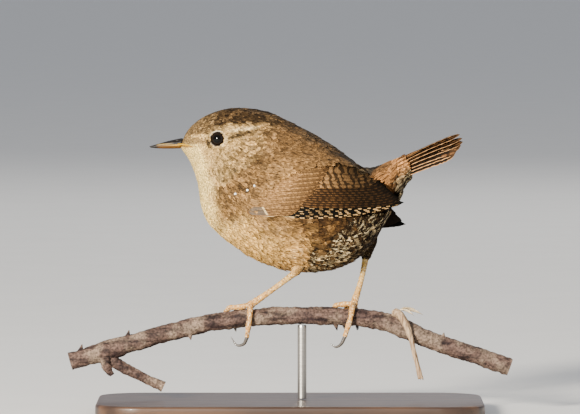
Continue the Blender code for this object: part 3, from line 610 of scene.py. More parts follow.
def markings(u, turn, x, z, points):
    """The plumage's colour, the strength of its bars, scales and white tips, and its mottling."""
    degrees = off_back(turn)
    u = np.asarray(u, float)
    drift, wander = clumps(71, 3.5, 9.0)(points), clumps(72, 2.0, 5.0)(points)
    colour = np.broadcast_to(COLOURS["side"], u.shape + (3,)).copy()

    def paint(name, share, shade=1.0):
        nonlocal colour
        colour = blend(colour, COLOURS[name] * shade, share)

    paint("cheek", fall(4.4, 7.4, u + 0.3 * drift))
    paint("flank", smooth(8.2, 11.0, u + 0.5 * drift))
    # The rear flank's dark brown is partly its own colour, partly painted shade under the rear of
    # the wing
    paint("rear_flank", smooth(8.0, 11.6, u + 0.9 * drift + 0.7 * wander))
    back = fall(46, 76, degrees)
    paint("mantle", back * smooth(6.0, 8.0, u))
    # Painted shade along the top of the back, where the light grazes it, over its own darker barred
    # feathers
    ridge = fall(12, 34, degrees + 5 * wander) * smooth(6.0, 8.5, u) * fall(14.5, 15.5, u)
    paint("ridge", ridge * 0.85)
    pale = smooth(-16, 14, degrees - np.interp(u, *PALE_FROM) + 5 * drift)
    under = blend(COLOURS["throat"], COLOURS["breast"], smooth(4.5, 8, u))
    under = blend(under, COLOURS["belly"], smooth(8.4, 10.2, u))
    under = blend(under, COLOURS["vent"], smooth(11.8, 13.4, u))
    colour = blend(colour, under, pale)
    tail_end = smooth(14.6, 15.6, u)
    paint("rump", tail_end * fall(104, 140, degrees))

    # The head's pattern lies on both sides alike, drawn in the side view
    head = fall(6.4, 8.2, u)
    edge = np.interp(x, *CROWN_EDGE)
    crown = smooth(-0.55, 0.75, z - edge + 0.25 * wander) * fall(5.8, 8.8, u)
    back_of_head = smooth(-29.0, -19.5, x + 0.8 * wander)
    top = blend(COLOURS["forehead"], COLOURS["crown"], back_of_head)
    top = blend(top, COLOURS["nape"], smooth(5.6, 7.0, u) * smooth(20, 50, degrees))
    colour = blend(colour, top, crown)
    # Painted shade along the top of the head
    paint("ridge", crown * fall(8, 26, degrees) * 0.45 * back_of_head)
    paint("crown", crown * fall(0.9, 2.6, z - edge) * back_of_head * 0.5, 0.8)
    eye = np.hypot(x - EYE_CENTRE[0], z - EYE_CENTRE[2])
    ring = fall(2.3, 2.62, eye + 0.12 * wander)
    brow = near_line("brow", x, z + 0.1 * wander) * head
    stripe = near_line("stripe", x, z + 0.12 * wander) * head
    paint("stripe", stripe * 0.88)
    paint("forehead", near_line("eye_shade", x, z + 0.15 * wander) * head * 0.8)
    paint("forehead", near_line("lore", x, z) * head * 0.9, 0.8)
    paint("gape", near_line("gape", x, z) * head * 0.8)
    paint("brow", np.maximum(brow * 0.8, ring * 0.5 * head))
    spot = near_line("lore_spot", x, z) * head
    for dark in DARK_SPOTS:
        spot = np.maximum(spot, near(dark, x, z) * 0.75 * head)
    paint("dark", spot * 0.85)
    for patch in GREY_PATCHES:
        paint("grey", near(patch, x, z) * 0.6)
    # Painted shade at the fold of the neck over the side of the breast
    colour = colour * (1 - 0.42 * near(FOLD_PAINTED_SHADE, x, z)[..., None])
    across = (x + 20.4) * 0.551 - (z - 68.5) * 0.835
    fold = smooth(-2.3, -0.9, across + 0.5 * wander) * fall(7, 12, across) * fall(-9, -2, x)
    paint("fold", fold * 0.92 * smooth(-24.5, -20.0, x))
    colour = colour * (1 + 0.28 * near(SHOULDER_LIGHT, x, z)[..., None])
    saddle = smooth(10.8, 12.4, u) * fall(14.0, 15.2, u) * fall(34, 56, degrees)
    paint("dark", saddle * 0.42)

    # Rear belly, and the feathers under the tail
    rear = smooth(11.4, 12.8, u + 0.3 * drift) * smooth(96, 126, degrees + 6 * drift)
    rear = np.maximum(rear, smooth(12.8, 13.8, u) * smooth(84, 104, degrees) * fall(17, 18, u))
    depth = (x - 8.5) * 0.6 - (z - 52.0) * 0.8 + 1.0 * drift + 0.6 * wander
    low = fall(58.0, 62.0, z)
    reach = low * smooth(2, 5, x)
    behind = smooth(-1.6, 1.6, depth) * reach
    streaked = np.maximum(rear, smooth(0.8, 4.0, depth) * reach)
    streaked = streaked * (1 - 0.6 * smooth(7.0, 9.5, depth) * low)
    rear = np.maximum(rear, behind)
    paint("streaked", behind * 0.9)
    plain = (1 - brow) * (1 - ring)
    bars = 0.1 * smooth(7, 9, u) + 0.4 * smooth(9.6, 12, u)
    bars = np.maximum(bars, 0.95 * rear)
    bars = np.maximum(bars, 0.42 * back * smooth(7.4, 9.5, u))
    bars *= 1 - 0.8 * tail_end * fall(100, 130, degrees)
    scales = 0.85 * crown + 0.5 * stripe
    scales = scales + 0.95 * smooth(2.0, 3.4, u) * fall(7, 9, u) * (1 - pale)
    scales = np.maximum(scales, 0.4 * smooth(6.5, 9.0, u) * (1 - tail_end))
    scales = np.maximum(scales, 0.16) * plain
    low_front = smooth(112, 138, degrees + 8 * wander) * smooth(8.2, 9.6, u)
    white = 0.85 * np.maximum(streaked, 0.6 * saddle)
    white = white + 0.35 * ring + 0.3 * brow + 0.55 * low_front * (1 - rear)
    mottle = 0.55 + 0.4 * crown + 0.8 * smooth(1.5, 3.0, u) * fall(6.5, 8.5, u) * (1 - pale)
    mottle = mottle + 0.9 * rear
    mottle = mottle * (0.35 + 0.65 * plain) * (1 - 0.5 * pale * fall(6, 9, u))
    return colour, np.clip(np.stack([bars, scales, white], -1), 0, 1), mottle


def feather_surface():
    """Soft body feathers: barbs running out from the shaft, cross bars, and scale-like tips. Only
    the outer end of each shows, so its pattern lies there."""
    look = Surface("plumage", roughness=0.8, specular=0.08)
    across, along, _ = look.parts(look.attribute("vane", "Vector"))
    bars, scales, white = look.parts(look.attribute("pattern", "Vector"))
    chance, flow = look.attribute("chance"), look.attribute("flow")
    tint = look.attribute("tint", "Color")
    place = look.place()
    side = abs(across)
    curved = along - side * side * 0.1
    drift = look.noise(place, 420, 2.0)
    wave = (flow * (2 * math.pi / 1.9) + drift * 9.0 + chance * 1.8).sine()
    bar = wave.step(-0.1, 0.55) * bars
    crescent = curved.band(0.74, 0.84, 0.88, 0.95)
    middle = side.fall(0.1, 0.7) * along.step(0.3, 0.8)
    tip = curved.step(0.9, 0.97)
    hairs = look.noise((across * 5.5 + chance * 53, along * 3.4, chance * 31), 1.0, 2.0)
    grain = hairs.step(0.36, 0.64)
    locks = look.noise(place, (760.0, 2600.0, 2300.0), 2.0).step(0.36, 0.64)
    streaks = look.noise(
        (across * 3.4 + chance * 40, along * 5 - side * 1.6, chance * 90), 1.0, 1.0
    )
    barbs = streaks.step(0.36, 0.62)
    colour = look.mix(bar * 0.82, tint, COLOURS["dark"])
    colour = look.mix(crescent.at_least(middle * 0.8) * scales * 0.62, colour, COLOURS["dark"])
    colour = look.mix(tip * white * 0.7, colour, COLOURS["cream"])
    thin = look.noise((across * 2.4 + chance * 17, along * 2.2, chance * 47), 1.0, 1.0)
    streak = thin.step(0.55, 0.62) * white.step(0.45, 0.8)
    colour = look.mix(streak * 0.75, colour, COLOURS["white"])
    px, _, pz = look.parts(place)
    for x, z in WHITE_TIPS:
        gap = ((px - x * MM) ** 2.0 + (pz - z * MM) ** 2.0) ** 0.5
        colour = look.mix(gap.fall(0.00022, 0.00042), colour, (255, 255, 250))
    lines = (pz - px * 0.5).wave(0.00105)
    lines = lines.step(0.1, 0.6) * px.step(0.0310, 0.0330) * white.fall(0.2, 0.5)
    colour = look.mix(lines * 0.85, colour, COLOURS["dark"])
    pale_edge = tip * scales * (1 - white)
    # Painted shade: each feather darkens towards its root, where it tucks under the feathers around
    # it
    depth = 0.54 + curved.step(0.7, 0.97) * 0.56
    colour = look.shade(
        colour, (0.1 + barbs * 0.55 + grain * 0.6 + locks * 0.6) * (depth + pale_edge * 0.5)
    )
    return look.finish(colour, barbs + grain * 0.7 + locks * 0.5, 0.7, 0.12)


FRAY, FEATHER_SHAPES = 11, 3


def feather_shape(name, seed):
    """One soft feather, 1 long and 1 wide, with a frayed tip. It is closed, and its root is at the
    origin. Its vane attribute holds the place across, from -1 to 1, and along, from 0 to 1."""
    draw = np.random.default_rng(seed)
    bulge = lambda s: 0.05 * 4 * s * (1 - s)
    points, vane = [], []

    def add(x, y, z=0.0):
        camber = -0.16 * y * y * 2
        points.append((x, y, bulge(x) + camber + z))
        vane.append((np.clip(2 * y, -1, 1), np.clip(x, 0, 1), 0))
        return len(points) - 1

    shaft = [add(x, 0, z) for x, z in ((0.0, 0.0), (0.28, 0.018), (0.5, 0.018), (0.66, 0.01))]
    sides = []
    for side in (-1, 1):
        widths = ((0.0, 0.1), (0.24, 0.3), (0.44, 0.45))
        sides.append([add(x, side * w * draw.uniform(0.92, 1.05)) for x, w in widths])
    hub = (0.6, 0.0)
    rim = []
    for k in range(2 * FRAY + 1):
        angle = math.radians(-98 + 196 * k / (2 * FRAY))
        out = draw.uniform(0.92, 1.08) if k % 2 else draw.uniform(0.72, 0.86)
        rim.append(add(hub[0] + 0.4 * math.cos(angle) * out, 0.5 * math.sin(angle) * out))
    faces = []
    for sign, side, edge in ((-1, sides[0], rim[0]), (1, sides[1], rim[-1])):
        strip = [*side, edge]
        for k in range(3):
            quad = (shaft[k], shaft[k + 1], strip[k + 1], strip[k])
            faces.append(quad if sign > 0 else quad[::-1])
    for a, b in zip(rim[:-1], rim[1:]):
        faces.append((shaft[3], a, b))
    outline = [*sides[0], *rim, *reversed(sides[1]), shaft[0]]
    faces.append(tuple(reversed(outline)))
    mesh = bpy.data.meshes.new(name)
    mesh.from_pydata(points, [], faces)
    work = bmesh.new()
    work.from_mesh(mesh)
    bmesh.ops.triangulate(work, faces=[f for f in work.faces if len(f.verts) > 4])
    for edge in work.edges:
        edge.smooth = not all(v.index in outline for v in edge.verts)
    work.to_mesh(mesh)
    work.free()
    mesh.polygons.foreach_set("use_smooth", [True] * len(mesh.polygons))
    set_values(mesh, "vane", vane)
    return bpy.data.objects.new(name, mesh)


def feather_tree():
    """Sets a feather on each point, aimed and sized by the point's own values."""
    tree = bpy.data.node_groups.new("Feather coat", "GeometryNodeTree")
    graph, keys = Graph(tree), {}
    kinds = {
        "Roots": "Geometry", "Feathers": "Collection", "Length": "Float", "Width": "Float",
        "Seed": "Int", "Material": "Material",
    }
    for name, kind in kinds.items():
        made = tree.interface.new_socket(
            name=name, in_out="INPUT", socket_type="NodeSocket" + kind
        )
        keys[name] = made.identifier
    tree.interface.new_socket(name="Coat", in_out="OUTPUT", socket_type="NodeSocketGeometry")
    outputs = tree.nodes.new("NodeGroupInput").outputs
    given = {name: Signal(graph, outputs[name]) for name in kinds}

    def own(name):
        kind = {"data_type": "FLOAT_VECTOR"}
        return graph.node("GeometryNodeInputNamedAttribute", kind, Name=name)

    shapes = graph.node(
        "GeometryNodeCollectionInfo", {"transform_space": "ORIGINAL"}, given["Feathers"], True, True
    )
    pick = graph.node("FunctionNodeRandomValue", {"data_type": "INT"}, Seed=given["Seed"])
    lowest, highest, *_ = [s for s in pick.socket.node.inputs if s.type == "INT"]
    lowest.default_value, highest.default_value = 0, FEATHER_SHAPES - 1
    pick.socket = next(s for s in pick.socket.node.outputs if s.type == "INT")
    factors = graph.node("ShaderNodeCombineXYZ", {}, given["Length"], given["Width"], 1.0)
    turn = graph.node("FunctionNodeEulerToRotation", {}, own("aim"))
    size = graph.node("ShaderNodeVectorMath", {"operation": "MULTIPLY"}, own("size"), factors)
    feathers = graph.node(
        "GeometryNodeInstanceOnPoints", {}, given["Roots"], Instance=shapes, Pick_Instance=True,
        Instance_Index=pick, Rotation=turn, Scale=size,
    )
    real = graph.node("GeometryNodeRealizeInstances", {}, feathers)
    painted = graph.node("GeometryNodeSetMaterial", {}, real, Material=given["Material"])
    graph.put(tree.nodes.new("NodeGroupOutput").inputs[0], painted)
    return tree, keys


def euler_angles(ahead, normal):
    """Turns that take +X to the way ahead and +Z to the normal."""
    side = unit(np.cross(normal, ahead))
    normal = np.cross(ahead, side)
    return np.stack(
        [
            np.arctan2(side[:, 2], normal[:, 2]),
            np.arctan2(-ahead[:, 2], np.hypot(ahead[:, 0], ahead[:, 1])),
            np.arctan2(ahead[:, 1], ahead[:, 0]),
        ],
        -1,
    )


class Coat(typing.NamedTuple):
    """The feathers of a coat before they are set, one row each."""

    roots: np.ndarray
    tips: np.ndarray
    normals: np.ndarray
    widths: np.ndarray
    u: np.ndarray
    turn: np.ndarray
    chance: np.ndarray

    def where(self, chosen):
        return Coat(*(values[chosen] for values in self))

    def grown(self, name, look, settings):
        """Sets the feathers with Geometry Nodes and returns their plain mesh."""
        way = self.tips - self.roots
        length = np.linalg.norm(way, axis=-1)
        mesh = bpy.data.meshes.new(name + "_roots")
        mesh.from_pydata(self.roots * MM, [], [])
        set_values(mesh, "aim", euler_angles(unit(way), self.normals))
        set_values(mesh, "size", np.stack([length, self.widths, length], -1) * MM)
        set_values(mesh, "root", np.stack([self.u, self.turn, self.chance], -1))
        obj = placed(name + "_roots", mesh)
        shapes = bpy.data.collections.new(name + "_shapes")
        for k in range(FEATHER_SHAPES):
            shapes.objects.link(feather_shape(f"{name}_shape_{k}", k + 1))
        tree, keys = feather_tree()
        modifier = obj.modifiers.new("feathers", "NODES")
        modifier.node_group = tree
        modifier[keys["Feathers"]] = shapes
        modifier[keys["Length"]] = settings.feather_length
        modifier[keys["Width"]] = settings.feather_width
        modifier[keys["Seed"]] = settings.seed
        modifier[keys["Material"]] = look.material
        made = plain_mesh(obj, name)
        for shape in list(shapes.objects):
            bpy.data.objects.remove(shape, do_unlink=True)
        bpy.data.collections.remove(shapes)
        bpy.data.node_groups.remove(tree)
        return made


def map_place(u, turn):
    """A place of the plumage on the unwrap of the skin, which is cut along the belly."""
    around = np.arctan2(np.sin(turn), np.cos(turn)) / (2 * np.pi) + 0.5
    return np.stack([0.02 + 0.96 * around, 0.02 + 0.94 * np.asarray(u) / LAST_STATION], -1)


def colour_coat(obj):
    """Gives each feather its markings, taken partly at its root and partly along it."""
    mesh = obj.data
    u, turn, chance = read(mesh.attributes["root"].data, "vector", 3).astype(float).T
    vane = read(mesh.attributes["vane"].data, "vector", 3).astype(float)
    points = positions(mesh)
    roots = body_point(u, turn)
    x = 0.3 * roots[:, 0] + 0.7 * points[:, 0]
    z = 0.3 * roots[:, 2] + 0.7 * points[:, 2]
    colour, pattern, mottle = markings(u + 0.25, turn, x, z, roots)
    lumps = clumps(73, 1.1, 3.2)(roots)
    patches = clumps(74, 4.0, 12.0)(roots)
    light = np.exp(mottle * (1.2 * (chance - 0.5) + 0.1 * lumps) + 0.05 * patches)
    fleck = (
        np.clip(pattern[:, 2] / 0.85 - 0.25, 0, 1) * smooth(0.82, 0.86, np.modf(chance * 5.7)[0])
    )
    colour = blend(colour, COLOURS["cream"], fleck * 0.9)
    pattern = pattern * (1 - 0.85 * fleck[:, None])
    warm = (np.modf(chance * 7.3)[0] - 0.5)[:, None] * np.array((0.06, 0.0, -0.16))
    colour = colour * light[:, None] * (1 + warm)
    colour = colour / np.maximum(np.max(colour, axis=1, keepdims=True) / 0.97, 1)
    set_values(mesh, "tint", np.c_[np.clip(colour, 0, 1), np.ones(len(u))])
    set_values(mesh, "pattern", pattern)
    set_values(mesh, "chance", chance)
    flow = np.interp(u, np.arange(LAST_STATION + 1), FLOW) + vane[:, 1] * spline(FEATHER_LENGTH, u)
    set_values(mesh, "flow", flow)
    corners = corner_verts(mesh)
    patch = map_place(u, turn) + (vane[:, :2] * (0.5, 1) - (0, 0.5)) * 0.003
    set_patch_map(mesh, patch[corners])
    return obj


# How far each station lies along the body, in millimetres
MIDDLES = STATIONS[:, :4].reshape(-1, 2, 2).mean(1)
FLOW = np.cumsum([0, *np.linalg.norm(np.diff(MIDDLES, axis=0), axis=-1)])


# Where the folded wing covers the body: its outline in the wing's own place, and the line along
# its front and top that body feathers lie over.
WING_OUTLINE = (
    (-14.6, 66.0), (-12.6, 62.2), (-9.0, 60.2), (0.0, 59.8), (12.0, 60.2), (26.0, 60.4),
    (34.0, 64.0), (32.5, 66.0), (28.0, 70.0), (22.0, 73.2), (18.0, 75.0), (10.0, 76.4),
    (2.0, 76.0), (-6.0, 75.4), (-12.0, 72.4),
)
WING_SHOWS = (
    (-12.8, 62.6), (-11.6, 60.0), (-6.0, 58.0), (14.0, 57.6), (30.0, 58.0), (42.0, 64.0),
    (34.0, 71.0), (25.0, 75.0), (19.0, 76.4), (13.4, 77.0), (8.0, 76.0), (2.0, 74.4),
    (-3.0, 71.6), (-7.6, 67.6),
)
WING_LIFT = 1.85


def smooth_walk(u, turn, ways, length, steps=3):
    """Walks over the body by a length in millimetres. Ways are (towards the tail, round)."""
    u, turn = u.copy(), turn.copy()
    for _ in range(steps):
        *_, u_size, turn_size = body_frame(u, turn)
        u += ways[0] * length / steps / u_size
        turn += ways[1] * length / steps / np.maximum(turn_size, 0.6)
        u = np.clip(u, 0, LAST_STATION + 0.35)
    return u, turn


def coat_roots(draw, density):
    """Staggered rows of roots from the bill to the tail, as u and turn."""
    found = []
    place, row = 0.12, 0
    while place < LAST_STATION - 0.1:
        spacing = float(spline(FEATHER_SPACING, place)) / density
        turns = circle(160)
        *_, u_size, turn_size = body_frame(np.full(160, place), turns)
        reach = np.concatenate([[0], np.cumsum(turn_size * 2 * np.pi / 160)])
        count = max(int(reach[-1] / (0.9 * spacing)), 8)
        marks = (np.arange(count) + (row % 2) / 2 + draw.uniform(-0.28, 0.28, count)) / count % 1
        turn = np.interp(marks * reach[-1], reach, np.linspace(0, 2 * np.pi, 161))
        step = 0.62 * spacing / float(u_size.mean())
        found.append((place + draw.uniform(-0.4, 0.4, count) * step, turn))
        place, row = place + step, row + 1
    return np.concatenate([f[0] for f in found]), np.concatenate([f[1] for f in found])


def eye_gap(points):
    """The distance from the nearer eye's axis, and the way out from it."""
    side = np.sign(points[:, 1:2])
    mirror = np.concatenate([np.ones_like(side), -side, np.ones_like(side)], 1)
    look = unit(EYE_LOOK) * mirror
    away = points - EYE_CENTRE * mirror
    away -= np.sum(away * look, -1, keepdims=True) * look
    return np.linalg.norm(away, axis=-1), unit(away)


def over_wing(points, side):
    """How far inside the wing's outline and inside its bare part each point is."""
    x, z = droop(points[:, 0], points[:, 2], side, back=True)
    return inside_depth(WING_OUTLINE, x, z), inside_depth(WING_SHOWS, x, z), x, z


def lifted(points, extra):
    """Body points raised on to the wing where they lie over its front and top."""
    out = points.copy()
    for side in (-1, 1):
        here = points[:, 1] * side > 0
        cover, _, _, z = over_wing(points, side)
        front_or_top = smooth(59.5, 62.0, z)
        share = smooth(-2.6, 0.4, cover) * front_or_top * (cover > -2.6) * here
        sheet = wing_depth(points[:, 0], points[:, 2]) + WING_LIFT + extra
        own = np.abs(points[:, 1])
        out[:, 1] = np.where(here, side * (own + np.maximum(sheet - own, 0) * share), out[:, 1])
    return out


def body_coat(settings):
    """All the feathers of the head and body."""
    draw = np.random.default_rng(settings.seed)
    u, turn = coat_roots(draw, settings.coat_density)
    count = len(u)
    point, back, around, normal, _, _ = body_frame(u, turn)
    chance = draw.uniform(0, 1, count)
    gap, away = eye_gap(point)
    near_eye = u < 8
    keep = ~(near_eye & (gap < LID_RADIUS + 0.22))
    # The lie: towards the tail, a little scattered, and parted round the eye
    scatter = np.radians(draw.normal(0, 8, count) + 6 * clumps(76, 4.0, 11.0)(point))
    lie = unit(back * np.cos(scatter)[:, None] + around * np.sin(scatter)[:, None])
    ease = np.where(near_eye, (2.6 / np.maximum(gap, 2.3)) ** 2 * (gap < 7), 0.0)[:, None]
    lie = unit(lie + ease * (lie - 2 * np.sum(lie * away, -1, keepdims=True) * away))
    lie = unit(lie - np.sum(lie * normal, -1, keepdims=True) * normal)
    length = spline(FEATHER_LENGTH, u) * draw.uniform(0.86, 1.14, count)
    length *= np.where(near_eye, 0.5 + 0.5 * smooth(2.3, 5.0, gap), 1)
    degrees = off_back(turn)
    belly = smooth(105, 140, degrees) * smooth(10.5, 13, u)
    throat = smooth(110, 150, degrees) * fall(4, 7, u)
    length *= 1 + 0.12 * belly
    length *= 1 - 0.5 * smooth(14.5, 16.0, u) * draw.uniform(0, 1, count)
    # Both ways over the surface, as the walk needs them
    square = np.sum(back * around, -1)
    a, b = np.sum(lie * back, -1), np.sum(lie * around, -1)
    ways = ((a - b * square) / (1 - square**2), (b - a * square) / (1 - square**2))
    tip_u, tip_turn = smooth_walk(u, turn, ways, length)
    end = LAST_STATION + draw.uniform(-1.5, 0.35, count)
    tip_u = np.minimum(tip_u, np.maximum(end, u + 0.3))
    depth = spline(COAT_DEPTH, u) * 0.9
    lumps = clumps(75, 2.6, 7.0)(point)
    stand = 0.05 + 0.24 * draw.uniform(0, 1, count) ** 1.5 + 0.07 * lumps
    stand = stand * (0.45 + 0.55 * smooth(3, 8, u)) + 0.5 * belly * draw.uniform(0, 1, count) ** 2
    stand += 0.3 * throat * draw.uniform(0, 1, count) ** 4
    stand += 0.3 * (draw.uniform(0, 1, count) > 0.975) * smooth(3, 6, u)
    roots = lifted(body_point(u, turn, -depth), -0.5)
    tips = lifted(body_point(tip_u, tip_turn, stand), 0.3)
    tip_normal = body_frame(tip_u, tip_turn)[3]
    normals = unit(normal + tip_normal)
    for side in (-1, 1):
        here = point[:, 1] * side > 0
        cover, bare, _, z = over_wing(body_point(tip_u, tip_turn), side)
        root_cover, root_bare, *_ = over_wing(point, side)
        behind = (
            smooth(20, 24, body_point(tip_u, tip_turn)[:, 0])
            * fall(67, 69, z)
            * smooth(61.6, 62.8, z)
        )
        ragged = (0.4 + 2.4 * chance) * (1 - behind) - 0.3 * behind
        keep &= ~(
            here & ((bare > ragged) & (root_bare > -5.5 - 3 * behind) & (cover > -0.6 - behind))
        )
        keep &= ~(here & (root_cover > 0.3) & (root_bare > -2.0))
        keep &= ~(here & (bare > ragged + 0.3) & (cover > 0.2))
    tip_gap, _ = eye_gap(tips)
    keep &= ~(near_eye & (tip_gap < LID_RADIUS + 0.05))
    widths = spline(FEATHER_SPACING, u) * 1.95 * draw.uniform(0.9, 1.12, count)
    widths *= np.where(near_eye, 0.75 + 0.25 * smooth(2.3, 4.5, gap), 1)
    values = Coat(roots, tips, normals, widths, u, turn, chance)
    return values.where(keep)


COAT_BANDS = (
    ("face", 0.0, 3.1),
    ("cheek", 3.1, 5.2),
    ("neck", 5.2, 7.4),
    ("breast", 7.4, 10.4),
    ("belly", 10.4, 13.6),
    ("rump", 13.6, 20.0),
)


# Hip, ankle and knuckle of each leg
LEGS = {
    -1: np.array(((6.4, -8.4, 51.5), (1.5, -6.4, 42.6), (-11.7, -0.7, 32.6))),
    1: np.array(((24.4, 6.6, 55.5), (22.8, 5.7, 46.6), (19.2, 0.6, 32.8))),
}
THIGH_RADII = (3.0, 2.5, 1.35)
THIGH_SKIN_SHARE, SKIN_SHADE = 0.72, 0.55  # Under its feathers: the thigh's share, and the tint, darker as painted shade in the gaps between feathers


def thigh_coat(settings):
    """Short feathers down both thighs."""
    draw = np.random.default_rng(settings.seed + 1)
    pieces = []
    for side in (-1, 1):
        hip, ankle, _ = LEGS[side]
        count = 900
        share = np.sqrt(draw.uniform(0.01, 1, count)) * 0.94
        turn = draw.uniform(0, 2 * np.pi, count)
        ahead = unit(ankle - hip)
        out_x = unit(np.cross(ahead, (0, 1, 0)))
        out_y = np.cross(out_x, ahead)
        way = out_x * np.cos(turn)[:, None] + out_y * np.sin(turn)[:, None]
        length = 3.0 - 1.5 * share
        full = np.linalg.norm(ankle - hip)
        radius = spline(THIGH_RADII, share * 2)
        tip_share = np.clip(share + length / full, 0, 1.09)
        tip_radius = spline(THIGH_RADII, np.clip(tip_share, 0, 1) * 2)
        tip_radius *= 1 - 0.35 * smooth(1.0, 1.09, tip_share)
        roots = hip + (ankle - hip) * share[:, None] + way * (radius * 0.72)[:, None]
        stand = tip_radius + draw.uniform(-0.1, 0.25, count)
        tips = hip + (ankle - hip) * tip_share[:, None] + way * stand[:, None]
        u = 10.0 + 0.9 * way[:, 0] - 0.3 * share if side < 0 else 12.6 + 0.8 * share
        pieces.append(
            (
                roots,
                tips,
                way,
                draw.uniform(0.8, 1.1, count),
                u,
                side * (0.3 * way[:, 0] - 2.4),
                draw.uniform(0, 1, count),
            )
        )
    return Coat(*(np.concatenate(column) for column in zip(*pieces)))


def build_skin(look):
    """One closed skin under all the plumage, with sockets round the eyes and both thighs."""
    u = np.linspace(0, LAST_STATION, SKIN_RINGS)
    turn = circle(SKIN_SIDES) + np.pi
    grid_u, grid_turn = np.meshgrid(u, turn, indexing="ij")
    depth = spline(COAT_DEPTH, grid_u)
    rings = body_point(grid_u, grid_turn, -depth)
    flat = rings.reshape(-1, 3)
    gap, _ = eye_gap(flat)
    side = np.sign(flat[:, 1:2])
    mirror = np.concatenate([np.ones_like(side), -side, np.ones_like(side)], 1)
    centre, look_way = EYE_CENTRE * mirror, unit(EYE_LOOK) * mirror
    ahead = np.sum((flat - centre) * look_way, -1)
    inside = (gap < 2.9) & (ahead > -1.0) & (grid_u.reshape(-1) < 8)
    floor = LID_DEPTH - 0.75 - 1.3 * fall(1.2, 2.6, gap)
    lower = np.maximum(ahead - floor, 0) * fall(2.35, 2.9, gap)
    flat = flat - look_way * (lower * inside)[:, None]
    points, faces = loft(flat.reshape(rings.shape))
    skin = mesh_object("skin", points, faces, look)
    place_u = np.concatenate([grid_u.reshape(-1), [0, LAST_STATION]])
    place_turn = np.concatenate([grid_turn.reshape(-1), [0, 0]])
    thighs = []
    for side in (-1, 1):
        hip, ankle, _ = LEGS[side]
        line = hip + (ankle - hip) * np.linspace(0, 1, 22)[:, None]
        radii = [r * THIGH_SKIN_SHARE for r in THIGH_RADII]
        thighs.append(tube_object("thigh", line, radii, 28, look))
    turned_out(skin)
    for leg in thighs:
        joiner = skin.modifiers.new("join", "BOOLEAN")
        joiner.operation, joiner.object, joiner.solver = "UNION", leg, "EXACT"
    skin = plain_mesh(skin, "skin")
    for leg in thighs:
        bpy.data.objects.remove(leg, do_unlink=True)
    # Each point of the joined skin takes the place of the nearest point of the body's grid
    kept = positions(skin.data)
    nearest = nearest_points(kept, points)
    u_of, turn_of = place_u[nearest], place_turn[nearest]
    colour, pattern, _ = markings(u_of, turn_of, kept[:, 0], kept[:, 2], kept)
    # The skin is darker than the plumage: painted shade in the gaps between the feathers
    set_values(skin.data, "tint", np.c_[colour * SKIN_SHADE, np.ones(len(colour))])
    set_values(skin.data, "pattern", pattern)
    corners = corner_verts(skin.data)
    patch = map_place(u_of, turn_of)[corners]
    set_patch_map(skin.data, seamless(skin.data, patch))
    skin.data.shade_smooth()
    return skin


def nearest_points(places, points):
    """The index of the nearest point to each place."""
    tree = kdtree.KDTree(len(points))
    for k, point in enumerate(points):
        tree.insert(point, k)
    tree.balance()
    return np.array([tree.find(place)[1] for place in places])


def seamless(mesh, patch):
    """Keeps the corners of each face on one side of the map's cut along the belly."""
    owner = corner_faces(mesh)
    high, low = np.full(len(mesh.polygons), -1.0), np.full(len(mesh.polygons), 2.0)
    np.maximum.at(high, owner, patch[:, 0])
    np.minimum.at(low, owner, patch[:, 0])
    wraps = (high - low > 0.5)[owner]
    patch = patch.copy()
    wrapped = 0.985 - 0.001 * patch[:, 0]
    patch[:, 0] = np.where(wraps & (patch[:, 0] < 0.5), wrapped, patch[:, 0])
    return patch


# Wing feathers, tier by tier from the lowest: their name, how many, the first and last root, the
# first and last tip, how much further the middle ones reach, half width, height, kind, tip shape.
WING_TIERS = (
    ("primaries", 6, (-4.0, 60.6), (-2.0, 63.6), (25.6, 61.5), (34.0, 63.7), 1.6, 1.5, 0.5, 0, 1.0),
    (
        "secondaries", 10, (-2.0, 64.2), (3.0, 70.2), (32.8, 64.4), (26.4, 70.4), 0.0, 1.6, 0.62, 1,
        0.6,
    ),
    ("tertials", 4, (3.0, 70.4), (5.0, 74.4), (26.0, 70.6), (22.6, 72.9), 0.0, 2.1, 0.76, 2, 0.6),
    (
        "primary_coverts", 5, (-7.6, 60.9), (-6.0, 63.6), (1.6, 61.2), (4.0, 64.2), 0.5, 1.1, 1.0,
        3, 0.55,
    ),
    (
        "greater_coverts", 9, (-6.4, 63.4), (0.6, 74.6), (4.4, 64.4), (12.4, 75.4), 0.9, 1.35, 1.1,
        3, 0.7,
    ),
    (
        "median_coverts", 10, (-9.6, 62.8), (-3.0, 74.6), (-2.6, 63.6), (5.2, 75.2), 0.7, 1.2, 1.4,
        4, 0.75,
    ),
    (
        "lesser_coverts", 11, (-13.0, 62.2), (-8.0, 73.4), (-6.4, 63.0), (-0.6, 74.4), 0.5, 1.1,
        1.6, 4, 0.75,
    ),
    ("alula", 3, (-12.8, 61.0), (-12.4, 62.6), (-3.6, 60.5), (-4.6, 61.8), 0.0, 0.85, 1.25, 5, 0.5),
)
VANE_COLUMNS = (-1.0, -0.8, -0.62, -0.5, -0.38, -0.1, 0.3, 0.68, 1.0)
VANE_SHAFT = 3
VANE_THICKNESS = 0.14


def vane_width(share, point):
    """A vane's width along it: narrow at the root, full, then rounded or pointed at its tip."""
    root = 0.5 + 0.5 * smooth(0.0, 0.3, share)
    start = 1 - 0.38 * point
    tip = np.clip((share - start) / (1 - start), 0, 1)
    return root * np.sqrt(np.maximum(1 - tip ** (2.6 - point), 0.0004))


